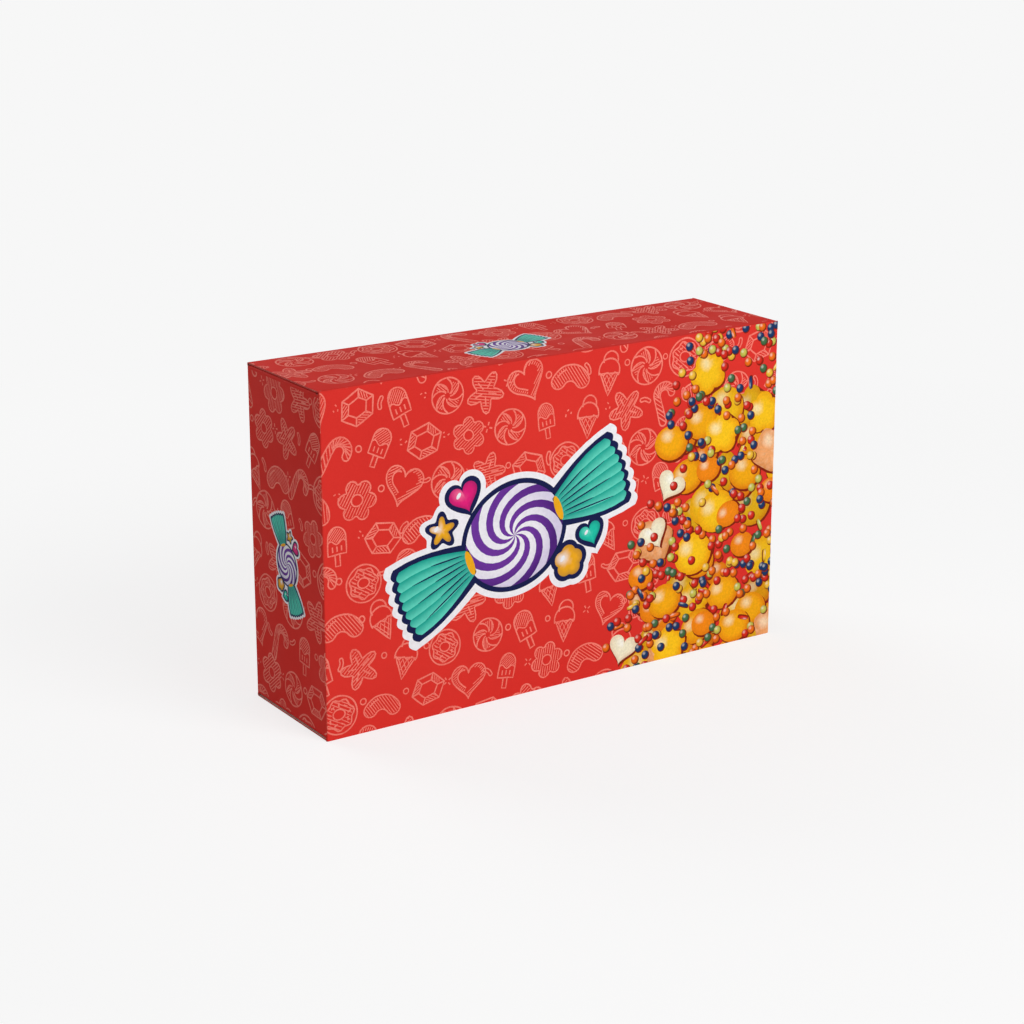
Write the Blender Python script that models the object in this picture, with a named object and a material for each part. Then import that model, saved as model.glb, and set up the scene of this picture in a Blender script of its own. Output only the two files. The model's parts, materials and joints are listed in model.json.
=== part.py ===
"""Folding carton for sweets, closed at the top and the bottom by panels that tuck in behind the front.

The carton is one sheet of paperboard, folded and glued into a tube. Each closure is a panel hinged on the back
panel, with a tuck flap along its front edge, and it covers two dust flaps hinged on the side panels.

Units are metres. The origin is the centre of the footprint, +X runs along the width, +Y from the front to the
back, and +Z is up.
"""

import math

import bmesh
import bpy
from mathutils import Matrix, Vector

# The closed carton
CARTON_WIDTH = 0.190
CARTON_DEPTH = 0.050
CARTON_HEIGHT = 0.120

# The board, its folds and creases, and the clearance between pieces
BOARD_THICKNESS = 0.0006
FOLD_RADIUS = 0.0005
FOLD_SEGMENTS = 4
CREASE_LAND = 0.00005
PIECE_GAP = 0.0003
WELD_DISTANCE = 0.000001

# The closure panels
CLOSURE_SIDE_PLAY = 0.0002

# The tuck flaps
TUCK_DEPTH = 0.0130
TUCK_SIDE_PLAY = 0.0010
TUCK_CORNER_RADIUS = 0.0085
TUCK_LEAN = math.radians(12)

# The dust flaps
DUST_LENGTH = 0.036
DUST_REAR_RECESS = 0.0012
DUST_REAR_TAPER = math.radians(30)
DUST_FRONT_RECESS = 0.0026
DUST_SHOULDER_LENGTH = 0.009
DUST_SHOULDER_DROP = 0.003
DUST_CORNER_RADIUS = 0.004
DUST_SHOULDER_RADIUS = 0.0012

# The glued seam
GLUE_FLAP_WIDTH = 0.014
GLUE_FLAP_END_RECESS = 0.0026
GLUE_FLAP_TAPER = math.radians(15)
GLUE_FLAP_CORNER_RADIUS = 0.0015
GLUE_FILM_THICKNESS = 0.0001
GLUE_FILM_WIDTH = 0.008
GLUE_FILM_END_MARGIN = 0.010
GLUE_FILM_CORNER_RADIUS = 0.002

CORNER_SEGMENTS = 6
SHARP_ANGLE = math.radians(35)
FLAT_ANGLE = math.radians(1)

# Places that follow from the sizes above
FRONT_FACE_Y = -CARTON_DEPTH / 2
BACK_FACE_Y = CARTON_DEPTH / 2
LEFT_FACE_X = -CARTON_WIDTH / 2
RIGHT_FACE_X = CARTON_WIDTH / 2
INSIDE_HALF_WIDTH = CARTON_WIDTH / 2 - BOARD_THICKNESS
SEAM_FACE_X = INSIDE_HALF_WIDTH - PIECE_GAP
CLOSURE_REACH = CARTON_DEPTH - BOARD_THICKNESS - PIECE_GAP
DUST_HINGE_DROP = BOARD_THICKNESS + PIECE_GAP
TUCK_SETBACK = PIECE_GAP + BOARD_THICKNESS * math.sin(TUCK_LEAN)

# Colours from the photograph, as linear red, green and blue
PRINT_RED = (0.62, 0.034, 0.026)
SIDE_RED = (0.56, 0.030, 0.024)
CLOSURE_RED = (0.58, 0.026, 0.030)
FLAP_RED = (0.60, 0.040, 0.034)
RAW_BOARD = (0.66, 0.62, 0.56)
GLUE_CLEAR = (0.80, 0.76, 0.64)
BOARD_ROUGHNESS = 0.42
RAW_BOARD_ROUGHNESS = 0.85
GLUE_ROUGHNESS = 0.35


def clear_scene():
    """Remove every object that the file starts with."""
    for scene_object in list(bpy.data.objects):
        bpy.data.objects.remove(scene_object, do_unlink=True)


def new_collection(name):
    """Make a collection in the scene and return it."""
    collection = bpy.data.collections.new(name)
    bpy.context.scene.collection.children.link(collection)
    return collection


def new_material(name, colour, roughness):
    """Make a plain Principled material."""
    material = bpy.data.materials.new(name)
    material.use_nodes = True
    shader = material.node_tree.nodes["Principled BSDF"]
    shader.inputs["Base Color"].default_value = (*colour, 1.0)
    shader.inputs["Roughness"].default_value = roughness
    shader.inputs["Metallic"].default_value = 0.0
    material.diffuse_color = (*colour, 1.0)
    return material


def axes_frame(origin, x_axis, y_axis, z_axis):
    """A matrix that places local X, Y and Z along three world directions at an origin."""
    turn = Matrix((x_axis, y_axis, z_axis)).transposed().to_4x4()
    return Matrix.Translation(origin) @ turn


def add_pivot(collection, name, frame, parent=None):
    """An empty on a crease. A flap hangs on it, so that turning the empty folds the flap."""
    pivot = bpy.data.objects.new(name, None)
    pivot.empty_display_size = BOARD_THICKNESS
    collection.objects.link(pivot)
    pivot.parent = parent
    pivot.matrix_local = frame
    return pivot


def corner_arc(before, corner, after, radius):
    """Points of a round corner between two straight edges, as short chords."""
    corner = Vector(corner)
    to_before = (Vector(before) - corner).normalized()
    to_after = (Vector(after) - corner).normalized()
    opening = to_before.angle(to_after)
    to_centre = (to_before + to_after).normalized()
    centre = corner + to_centre * (radius / math.sin(opening / 2))
    reach = radius / math.tan(opening / 2)
    first = corner + to_before * reach - centre
    last = corner + to_after * reach - centre
    sweep = first.angle_signed(last)
    steps = [sweep * step / CORNER_SEGMENTS for step in range(CORNER_SEGMENTS + 1)]
    return [centre + Matrix.Rotation(-step, 2) @ first for step in steps]


def rounded_outline(corners):
    """An outline with its corners rounded. Each corner is (x, y, radius)."""
    points = []
    for index, (x, y, radius) in enumerate(corners):
        if radius <= 0:
            points.append(Vector((x, y)))
            continue
        before = corners[index - 1][:2]
        after = corners[(index + 1) % len(corners)][:2]
        points.extend(corner_arc(before, (x, y), after, radius))
    return points


def signed_area(points):
    """Positive where the points run anticlockwise."""
    pairs = zip(points, points[1:] + points[:1])
    return sum(a.x * b.y - b.x * a.y for a, b in pairs) / 2


def board_mesh(name, points, thickness):
    """A closed mesh cut to an outline, with its outer face at Z = 0 and its thickness below it."""
    curve = bpy.data.curves.new(name, "CURVE")
    curve.dimensions = "2D"
    curve.fill_mode = "BOTH"
    curve.extrude = thickness / 2
    spline = curve.splines.new("POLY")
    spline.points.add(len(points) - 1)
    if signed_area(points) < 0:
        points = points[::-1]
    for spline_point, point in zip(spline.points, points):
        spline_point.co = (point.x, point.y, 0.0, 1.0)
    spline.use_cyclic_u = True
    drawn = bpy.data.objects.new(name, curve)
    bpy.context.scene.collection.objects.link(drawn)
    evaluated = drawn.evaluated_get(bpy.context.evaluated_depsgraph_get())
    mesh = bpy.data.meshes.new_from_object(evaluated)
    bpy.data.objects.remove(drawn)
    bpy.data.curves.remove(curve)
    mesh.name = name
    shape = bmesh.new()
    shape.from_mesh(mesh)
    bmesh.ops.remove_doubles(shape, verts=shape.verts, dist=WELD_DISTANCE)
    bmesh.ops.dissolve_limit(
        shape, angle_limit=FLAT_ANGLE, verts=shape.verts, edges=shape.edges
    )
    bmesh.ops.translate(shape, vec=(0, 0, -thickness / 2), verts=shape.verts)
    shape.to_mesh(mesh)
    shape.free()
    return mesh


def edges_along(shape, axis, place, outer):
    """Edges of one face of a plate that run along a line where a coordinate has a given value."""
    middle = -BOARD_THICKNESS / 2
    return [
        edge
        for edge in shape.edges
        if all(
            abs(vert.co[axis] - place) < WELD_DISTANCE and (vert.co.z > middle) == outer
            for vert in edge.verts
        )
    ]


def dress_edges(mesh, creases, folds):
    """Mitre the inner edges along creases at given Y, and round the outer edges of folds at given X."""
    mitre_width = BOARD_THICKNESS - CREASE_LAND
    shape = bmesh.new()
    shape.from_mesh(mesh)
    for place in creases:
        bmesh.ops.bevel(
            shape,
            geom=edges_along(shape, 1, place, outer=False),
            offset=mitre_width,
            offset_type="OFFSET",
            segments=1,
            affect="EDGES",
        )
    for place in folds:
        bmesh.ops.bevel(
            shape,
            geom=edges_along(shape, 0, place, outer=True),
            offset=min(FOLD_RADIUS, mitre_width),
            offset_type="OFFSET",
            segments=FOLD_SEGMENTS,
            profile=0.5,
            affect="EDGES",
        )
    shape.to_mesh(mesh)
    shape.free()


def place_piece(collection, mesh, frame, material, parent=None):
    """Put a finished mesh in the scene, with its outer face in the XY plane of a frame."""
    mesh.shade_smooth()
    mesh.set_sharp_from_angle(angle=SHARP_ANGLE)
    mesh.materials.append(material)
    piece = bpy.data.objects.new(mesh.name, mesh)
    collection.objects.link(piece)
    piece.parent = parent
    piece.matrix_local = frame
    return piece


def board_piece(collection, name, points, frame, material, parent=None, creases=(), folds=()):
    """A piece of board, with mitred inner edges along its creases and rounded outer edges at its folds."""
    mesh = board_mesh(name, points, BOARD_THICKNESS)
    dress_edges(mesh, creases, folds)
    return place_piece(collection, mesh, frame, material, parent)


def rectangle(low_x, low_y, high_x, high_y):
    """The outline of a square-cornered panel."""
    return rounded_outline(
        [(low_x, low_y, 0), (high_x, low_y, 0), (high_x, high_y, 0), (low_x, high_y, 0)]
    )


def add_front_and_back(collection):
    """The two large walls of the tube. Each carries the rounded folds at its upright edges."""
    up = Vector((0, 0, 1))
    outward = Vector((0, -1, 0))
    board_piece(
        collection,
        "front_panel",
        rectangle(LEFT_FACE_X, 0, RIGHT_FACE_X, CARTON_HEIGHT),
        axes_frame((0, FRONT_FACE_Y, 0), up.cross(outward), up, outward),
        new_material("front_panel_print", PRINT_RED, BOARD_ROUGHNESS),
        folds=(LEFT_FACE_X, RIGHT_FACE_X),
    )
    outward = Vector((0, 1, 0))
    low, high = PIECE_GAP, CARTON_HEIGHT - PIECE_GAP
    board_piece(
        collection,
        "back_panel",
        rectangle(-SEAM_FACE_X, low, -LEFT_FACE_X, high),
        axes_frame((0, BACK_FACE_Y, 0), up.cross(outward), up, outward),
        new_material("back_panel_print", PRINT_RED, BOARD_ROUGHNESS),
        creases=(low, high),
        folds=(-SEAM_FACE_X, -LEFT_FACE_X),
    )


def add_sides(collection):
    """The two narrow walls. The right one covers the glue flap, and its raw edge lies flush with the back."""
    up = Vector((0, 0, 1))
    low = DUST_HINGE_DROP + PIECE_GAP
    high = CARTON_HEIGHT - low
    front = FRONT_FACE_Y + BOARD_THICKNESS + PIECE_GAP
    folded_back = BACK_FACE_Y - BOARD_THICKNESS - PIECE_GAP
    for name, face_x, back in (
        ("left_side_panel", LEFT_FACE_X, folded_back),
        ("right_side_panel", RIGHT_FACE_X, BACK_FACE_Y),
    ):
        outward = Vector((math.copysign(1, face_x), 0, 0))
        along = up.cross(outward)
        board_piece(
            collection,
            name,
            rectangle(along.y * front, low, along.y * back, high),
            axes_frame((face_x, 0, 0), along, up, outward),
            new_material(name + "_print", SIDE_RED, BOARD_ROUGHNESS),
            creases=(low, high),
        )


def add_seam(collection):
    """The glue flap, folded from the back panel inside the right side panel, and its film of glue."""
    fold_low = GLUE_FLAP_END_RECESS
    fold_high = CARTON_HEIGHT - GLUE_FLAP_END_RECESS
    taper = GLUE_FLAP_WIDTH * math.tan(GLUE_FLAP_TAPER)
    corners = [
        (0, fold_low, 0),
        (GLUE_FLAP_WIDTH, fold_low + taper, GLUE_FLAP_CORNER_RADIUS),
        (GLUE_FLAP_WIDTH, fold_high - taper, GLUE_FLAP_CORNER_RADIUS),
        (0, fold_high, 0),
    ]
    fold_y = BACK_FACE_Y - BOARD_THICKNESS - PIECE_GAP
    frame = axes_frame((SEAM_FACE_X, fold_y, 0), (0, -1, 0), (0, 0, 1), (-1, 0, 0))
    board_piece(
        collection,
        "glue_flap",
        rounded_outline(corners),
        frame @ Matrix.Translation((0, 0, BOARD_THICKNESS)),
        new_material("glue_flap_raw_board", RAW_BOARD, RAW_BOARD_ROUGHNESS),
    )
    near = (GLUE_FLAP_WIDTH - GLUE_FILM_WIDTH) / 2
    far = near + GLUE_FILM_WIDTH
    low = GLUE_FILM_END_MARGIN
    high = CARTON_HEIGHT - GLUE_FILM_END_MARGIN
    radius = GLUE_FILM_CORNER_RADIUS
    film = [(near, low, radius), (far, low, radius), (far, high, radius), (near, high, radius)]
    film_lift = (GLUE_FILM_THICKNESS - PIECE_GAP) / 2
    place_piece(
        collection,
        board_mesh("seam_glue", rounded_outline(film), GLUE_FILM_THICKNESS),
        frame @ Matrix.Translation((0, 0, film_lift)),
        new_material("seam_glue_film", GLUE_CLEAR, GLUE_ROUGHNESS),
    )


def tuck_outline():
    """The tuck flap in its crease's frame, with Y running from the crease to the free edge."""
    half = INSIDE_HALF_WIDTH - TUCK_SIDE_PLAY
    far = TUCK_SETBACK + TUCK_DEPTH
    corners = [
        (-half, TUCK_SETBACK, 0),
        (half, TUCK_SETBACK, 0),
        (half, far, TUCK_CORNER_RADIUS),
        (-half, far, TUCK_CORNER_RADIUS),
    ]
    return rounded_outline(corners)


def dust_outline(rearward):
    """The dust flap in its crease's frame, with Y running inwards. The back is towards rearward times X."""
    root = PIECE_GAP
    rear_root = CARTON_DEPTH / 2 - DUST_REAR_RECESS
    rear_tip = rear_root - (DUST_LENGTH - root) * math.tan(DUST_REAR_TAPER)
    front_root = DUST_FRONT_RECESS - CARTON_DEPTH / 2
    front_tip = front_root + DUST_SHOULDER_DROP
    shoulder = root + DUST_SHOULDER_LENGTH
    corners = [
        (rear_root, root, 0),
        (rear_tip, DUST_LENGTH, DUST_CORNER_RADIUS),
        (front_tip, DUST_LENGTH, DUST_CORNER_RADIUS),
        (front_tip, shoulder + DUST_SHOULDER_DROP, DUST_SHOULDER_RADIUS),
        (front_root, shoulder, DUST_SHOULDER_RADIUS),
        (front_root, root, 0),
    ]
    return rounded_outline([(rearward * x, y, radius) for x, y, radius in corners])


def add_closure(collection, end, face_z, outward):
    """A closure panel with its tuck flap and its two dust flaps, at one end of the carton."""
    up = Vector((0, 0, outward))
    forward = Vector((0, -1, 0))
    frame = axes_frame((0, BACK_FACE_Y, face_z), forward.cross(up), forward, up)
    pivot = add_pivot(collection, f"{end}_closure_pivot", frame)
    half = CARTON_WIDTH / 2 - CLOSURE_SIDE_PLAY
    near, far = PIECE_GAP, CLOSURE_REACH - TUCK_SETBACK
    board_piece(
        collection,
        f"{end}_closure_panel",
        rectangle(-half, near, half, far),
        Matrix.Identity(4),
        new_material(f"{end}_closure_print", CLOSURE_RED, BOARD_ROUGHNESS),
        parent=pivot,
        creases=(near, far),
    )
    at_front = Matrix.Translation((0, CLOSURE_REACH, 0))
    folded = at_front @ Matrix.Rotation(-(math.pi / 2 + TUCK_LEAN), 4, "X")
    board_piece(
        collection,
        f"{end}_tuck_flap",
        tuck_outline(),
        Matrix.Identity(4),
        new_material(f"{end}_tuck_print", FLAP_RED, BOARD_ROUGHNESS),
        parent=add_pivot(collection, f"{end}_tuck_pivot", folded, pivot),
        creases=(TUCK_SETBACK,),
    )
    for side, face_x in (("left", LEFT_FACE_X), ("right", RIGHT_FACE_X)):
        inward = Vector((-math.copysign(1, face_x), 0, 0))
        along = inward.cross(up)
        hinge_z = face_z - outward * DUST_HINGE_DROP
        hinge = axes_frame((face_x, 0, hinge_z), along, inward, up)
        board_piece(
            collection,
            f"{end}_{side}_dust_flap",
            dust_outline(along.y),
            Matrix.Identity(4),
            new_material(f"{end}_{side}_dust_print", FLAP_RED, BOARD_ROUGHNESS),
            parent=add_pivot(collection, f"{end}_{side}_dust_pivot", hinge),
            creases=(PIECE_GAP,),
        )


def main():
    """Build the whole carton, closed."""
    clear_scene()
    carton = new_collection("candy_box")
    add_front_and_back(carton)
    add_sides(carton)
    add_seam(carton)
    add_closure(carton, "top", CARTON_HEIGHT, 1)
    add_closure(carton, "bottom", 0, -1)


main()
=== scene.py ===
"""Looks of the candy carton: creased board, printed sweets, badge, camera and studio."""

import json
import logging
import math
import random
from collections.abc import Callable, Iterator, Sequence
from contextlib import contextmanager
from dataclasses import dataclass, field
from enum import Enum

import bmesh
import bpy
from mathutils import Matrix, Vector, noise


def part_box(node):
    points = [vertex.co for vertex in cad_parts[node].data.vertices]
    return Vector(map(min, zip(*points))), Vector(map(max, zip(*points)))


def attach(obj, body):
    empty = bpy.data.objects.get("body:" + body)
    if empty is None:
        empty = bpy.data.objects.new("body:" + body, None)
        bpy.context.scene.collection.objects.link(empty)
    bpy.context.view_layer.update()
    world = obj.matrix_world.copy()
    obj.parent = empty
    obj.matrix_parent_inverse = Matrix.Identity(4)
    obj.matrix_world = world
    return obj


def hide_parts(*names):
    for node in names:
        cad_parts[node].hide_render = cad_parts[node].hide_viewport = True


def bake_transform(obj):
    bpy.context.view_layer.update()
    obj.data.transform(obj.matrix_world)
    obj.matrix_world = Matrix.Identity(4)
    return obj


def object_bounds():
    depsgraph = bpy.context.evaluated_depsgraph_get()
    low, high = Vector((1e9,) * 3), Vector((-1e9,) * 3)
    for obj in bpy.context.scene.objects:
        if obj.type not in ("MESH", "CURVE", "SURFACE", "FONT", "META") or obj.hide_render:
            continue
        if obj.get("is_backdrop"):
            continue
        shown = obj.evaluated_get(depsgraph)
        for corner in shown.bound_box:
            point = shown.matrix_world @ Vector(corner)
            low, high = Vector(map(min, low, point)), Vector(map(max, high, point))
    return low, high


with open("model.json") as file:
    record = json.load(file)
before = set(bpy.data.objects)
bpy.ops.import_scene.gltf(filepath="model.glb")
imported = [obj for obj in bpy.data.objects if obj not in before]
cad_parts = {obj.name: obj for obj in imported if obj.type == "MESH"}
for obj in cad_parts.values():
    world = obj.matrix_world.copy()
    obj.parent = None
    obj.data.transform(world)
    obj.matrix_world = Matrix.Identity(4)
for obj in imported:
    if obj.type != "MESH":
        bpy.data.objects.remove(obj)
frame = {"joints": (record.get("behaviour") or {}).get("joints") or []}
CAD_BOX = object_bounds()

LOG = logging.getLogger("carton")
MM = 0.001
PAINT_LAYER = "ink"
RIGHT, BACK, UP = Vector((1, 0, 0)), Vector((0, 1, 0)), Vector((0, 0, 1))
# The curve by which a screen turns its levels into light.
KNEE, SLOPE, SHIFT, POWER = 0.04045, 12.92, 0.055, 2.4

Colour = tuple[float, ...]
Flat = tuple[float, float]
Stroke = list[Flat]
Outline = Callable[[float], Flat]
PlaceTest = Callable[[Vector], bool]
PaintRule = Callable[[Vector, Vector], Colour]
Piece, Ink, Socket = bpy.types.Object, bpy.types.Material, bpy.types.NodeSocket
Input = Socket | float | Colour


def ink(*levels: int) -> Colour:
    """Turns a screen colour of red, green and blue into the linear, opaque one that shaders read."""
    shares = [level / 255 for level in levels]
    return (*(s / SLOPE if s <= KNEE else ((s + SHIFT) / (1 + SHIFT)) ** POWER for s in shares), 1.0)


def mixed(first: Colour, second: Colour, share: float) -> Colour:
    """Mixes two colours, the second by a share that is held between 0 and 1."""
    part = min(1.0, max(0.0, share))
    return tuple(a + (b - a) * part for a, b in zip(first, second))


def frame_of(origin: Vector, across: Vector, up: Vector) -> Matrix:
    """Gives the move of a flat drawing to its place, by where its origin, X and Y axes go."""
    turn = Matrix((across, up, across.cross(up))).transposed().to_4x4()
    return Matrix.Translation(origin) @ turn


def laid(place: Flat, turn: float = 0.0, size: float = 1.0) -> Matrix:
    """Gives the move of a flat shape to a place in millimetres, turned and scaled."""
    spin = Matrix.Rotation(turn, 4, "Z") @ Matrix.Diagonal((size, size, 1, 1))
    return Matrix.Translation((place[0] * MM, place[1] * MM, 0)) @ spin


class Part(Enum):
    """The kinds of mesh part that can be picked in edit mode."""

    POINT = "VERT"
    EDGE = "EDGE"
    FACE = "FACE"


class Bench:
    """The modelling bench: one mesh at a time, shaped by hand moves with its parts picked in code."""

    CLOSE = 1e-7
    ON_PLANE = 1e-8

    @staticmethod
    def hold(*pieces: Piece) -> None:
        """Selects these objects and no others, with the first one active.

        Args:
            *pieces: The objects.
        """
        bpy.ops.object.select_all(action="DESELECT")
        for piece in pieces:
            piece.select_set(True)
        bpy.context.view_layer.objects.active = pieces[0]

    @staticmethod
    def add(name: str, kind: Callable[..., set[str]], **settings: object) -> Piece:
        """Adds an object by an operator, with nothing else selected.

        Args:
            name: The name for the object and its data.
            kind: The operator.
            **settings: The operator's settings.

        Returns:
            The object.
        """
        bpy.ops.object.select_all(action="DESELECT")
        kind(**settings)
        made = bpy.context.object
        made.name = made.data.name = name
        return made

    @staticmethod
    def panel(name: str, low: Flat, high: Flat) -> Piece:
        """Adds a rectangle in the XY plane, facing up, with its place in its mesh.

        Args:
            name: The object's name.
            low: The corner with the least x and y.
            high: The corner with the greatest x and y.

        Returns:
            The rectangle.
        """
        made = Bench.add(name, bpy.ops.mesh.primitive_plane_add, size=1)
        made.scale = (high[0] - low[0], high[1] - low[1], 1)
        made.location = ((low[0] + high[0]) / 2, (low[1] + high[1]) / 2, 0)
        bpy.ops.object.transform_apply(location=True, rotation=True, scale=True)
        return made

    @staticmethod
    @contextmanager
    def shaping(piece: Piece, part: Part = Part.POINT, rule: PlaceTest | None = None) -> Iterator[None]:
        """Opens a mesh in edit mode with the parts picked that a move is for, and closes it again.

        Args:
            piece: The object to shape.
            part: The kind of part to pick.
            rule: A test that all of a part's points pass, or None to pick every part.

        Yields:
            Nothing.
        """
        Bench.hold(piece)
        bpy.ops.object.mode_set(mode="EDIT")
        bpy.ops.mesh.select_mode(type=part.value)
        bpy.ops.mesh.select_all(action="DESELECT" if rule else "SELECT")
        if rule:
            mesh = bmesh.from_edit_mesh(piece.data)
            for item in getattr(mesh, part.value.lower() + "s"):
                points = [item] if part is Part.POINT else item.verts
                if all(rule(point.co) for point in points):
                    item.select_set(True)
            mesh.select_flush_mode()
            bmesh.update_edit_mesh(piece.data)
        yield
        bpy.ops.object.mode_set(mode="OBJECT")

    @staticmethod
    def finish(piece: Piece, kind: str, **settings: object) -> None:
        """Adds a modifier and applies it.

        Args:
            piece: The object to change.
            kind: The modifier's type.
            **settings: The modifier's settings.
        """
        Bench.hold(piece)
        modifier = piece.modifiers.new(kind.lower(), kind)
        for name, value in settings.items():
            setattr(modifier, name, value)
        bpy.ops.object.modifier_apply(modifier=modifier.name)

    @staticmethod
    def cut(piece: Piece, place: Vector, facing: Vector, clear: bool = True, fill: bool = True) -> None:
        """Cuts a mesh with a plane.

        Args:
            piece: The object to cut.
            place: A point on the plane.
            facing: The plane's normal.
            clear: Whether what lies in front of the plane is removed.
            fill: Whether the cut is closed where something is removed.
        """
        plane = {"plane_co": place, "plane_no": facing, "threshold": Bench.ON_PLANE}
        with Bench.shaping(piece):
            bpy.ops.mesh.bisect(**plane, use_fill=clear and fill, clear_outer=clear)

    @staticmethod
    def trim(piece: Piece, place: Vector, facing: Vector) -> None:
        """Cuts a mesh of many closed shapes with a plane, and closes each shape by itself.

        Args:
            piece: The object to trim.
            place: A point on the plane.
            facing: The plane's normal, on the side that is removed.
        """
        Bench.cut(piece, place, facing, fill=False)
        with Bench.shaping(piece):
            bpy.ops.mesh.fill_holes(sides=0)

    @staticmethod
    def mend(piece: Piece) -> None:
        """Merges doubled points and turns every face outwards.

        Args:
            piece: The object to mend.
        """
        with Bench.shaping(piece):
            bpy.ops.mesh.remove_doubles(threshold=Bench.CLOSE)
            bpy.ops.mesh.normals_make_consistent(inside=False)

    @staticmethod
    def join(name: str, pieces: Sequence[Piece]) -> Piece:
        """Joins objects into one.

        Args:
            name: The name of the joined object.
            pieces: The objects, of which the first keeps its slots.

        Returns:
            The joined object.
        """
        Bench.hold(*pieces)
        bpy.ops.object.join()
        pieces[0].name = pieces[0].data.name = name
        return pieces[0]

    @staticmethod
    def copy(master: Piece, move: Matrix) -> Piece:
        """Copies an object with a mesh of its own.

        Args:
            master: The object to copy.
            move: The move that goes into the copy's mesh.

        Returns:
            The copy.
        """
        made = master.copy()
        made.data = master.data.copy()
        made.data.transform(move)
        bpy.context.scene.collection.objects.link(made)
        return made

    @staticmethod
    def drop(*pieces: Piece) -> None:
        """Removes objects that only served to shape others."""
        for piece in pieces:
            bpy.data.objects.remove(piece)

    @staticmethod
    def paint(piece: Piece, rule: PaintRule) -> None:
        """Paints a mesh, corner by corner.

        Args:
            piece: The object to paint.
            rule: Gives a colour for a face's middle and a corner's place.
        """
        mesh = piece.data
        layer = mesh.color_attributes.new(PAINT_LAYER, "FLOAT_COLOR", "CORNER")
        for polygon in mesh.polygons:
            middle = polygon.center.copy()
            for corner in polygon.loop_indices:
                place = mesh.vertices[mesh.loops[corner].vertex_index].co
                layer.data[corner].color = rule(middle, place)


class Recipe:
    """A material written as a chain of nodes that ends in one Principled shader."""

    def __init__(self, name: str) -> None:
        """Starts the material.

        Args:
            name: The material's name.
        """
        self.material = bpy.data.materials.new(name)
        self.material.use_nodes = True
        self.tree = self.material.node_tree
        self.shader = self.tree.nodes["Principled BSDF"]
        self.places = self.node("TexCoord", {}).outputs["Object"]

    def node(self, kind: str, inputs: dict[str | int, Input], **settings: str) -> bpy.types.Node:
        """Adds a node.

        Args:
            kind: The node's type, without its prefix.
            inputs: Values, or sockets to link, by the input's name or number.
            **settings: The node's own settings.

        Returns:
            The node.
        """
        made = self.tree.nodes.new("ShaderNode" + kind)
        for name, value in settings.items():
            setattr(made, name, value)
        for name, value in inputs.items():
            self.feed(made.inputs[name], value)
        return made

    def value(self, kind: str, inputs: dict[str | int, Input], **settings: str) -> Socket:
        """Adds a node and gives its first output."""
        return self.node(kind, inputs, **settings).outputs[0]

    def feed(self, socket: Socket, value: Input) -> None:
        """Links an input to another socket, or sets it to a plain value.

        Args:
            socket: The input socket.
            value: A plain value, or the output socket to link.
        """
        if isinstance(value, Socket):
            self.tree.links.new(value, socket)
        else:
            socket.default_value = value

    def grain(self, scale: float, detail: float = 2.0, stretch: Sequence[float] = (1, 1, 1)) -> Socket:
        """Adds noise on the piece's own coordinates: its repeats a metre, octaves and stretch."""
        places = self.value("Mapping", {"Vector": self.places, "Scale": stretch})
        return self.value("TexNoise", {"Vector": places, "Scale": scale, "Detail": detail})

    def band(self, value: Input, low: float, high: float, start: float, end: float) -> Socket:
        """Maps a value so that low gives start and high gives end, clamped."""
        inputs = {"Value": value, "From Min": low, "From Max": high, "To Min": start, "To Max": end}
        return self.value("MapRange", inputs)

    def sum(self, how: str, first: Input, second: Input) -> Socket:
        """Works out one sum by a Math node's operation."""
        return self.value("Math", {0: first, 1: second}, operation=how)

    def blend(self, share: Input, first: Input, second: Input, how: str = "MIX") -> Socket:
        """Mixes two colours, the second by a share, by a Mix node's blend type."""
        inputs = {0: share, 6: first, 7: second}
        return self.node("Mix", inputs, data_type="RGBA", blend_type=how).outputs[2]

    def finish(self, colour: Input, rough: Input, relief: Input, depth: float, gloss: float) -> Ink:
        """Links the chain to the shader.

        Args:
            colour: The base colour.
            rough: The roughness.
            relief: The height of the relief, as a share.
            depth: How high the relief stands, in metres.
            gloss: The specular level.

        Returns:
            The material.
        """
        bump = self.value("Bump", {"Height": relief, "Distance": depth, "Strength": 1.0})
        inputs = {"Base Color": colour, "Roughness": rough, "Normal": bump, "Specular IOR Level": gloss}
        for name, value in inputs.items():
            self.feed(self.shader.inputs[name], value)
        return self.material


@dataclass(frozen=True)
class Varnish:
    """The satin varnish over everything printed: its gloss is one for the ground and the inks."""

    gloss: float = 0.04
    relief: float = 0.006 * MM

    def lay(self, recipe: Recipe, colour: Input, low: float, high: float) -> Ink:
        """Finishes a printed material of some colour, with its least and greatest roughness."""
        rough = recipe.band(recipe.grain(60, 3), 0.35, 0.65, low, high)
        return recipe.finish(colour, rough, recipe.grain(2600, 3, (1, 1, 0.35)), self.relief, self.gloss)


@dataclass(frozen=True)
class BoardSizes:
    """Sizes of the board and its creases, and where its printed faces lie in the frame."""

    board: float = 0.6 * MM
    rise: float = 0.08 * MM
    thickness: float = board - rise
    hem: float = 0.05 * MM
    fold_radius: float = 0.6 * MM
    fold_steps: int = 6
    crease_reach: float = 1.0 * MM
    crease_steps: int = 8
    half_width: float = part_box("front_panel")[1].x
    height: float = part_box("front_panel")[1].z
    tab_fold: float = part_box("glue_flap")[1].x
    out_x: float = half_width - rise
    out_y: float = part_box("back_panel")[1].y - rise


VARNISH, SIZES = Varnish(), BoardSizes()


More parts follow.
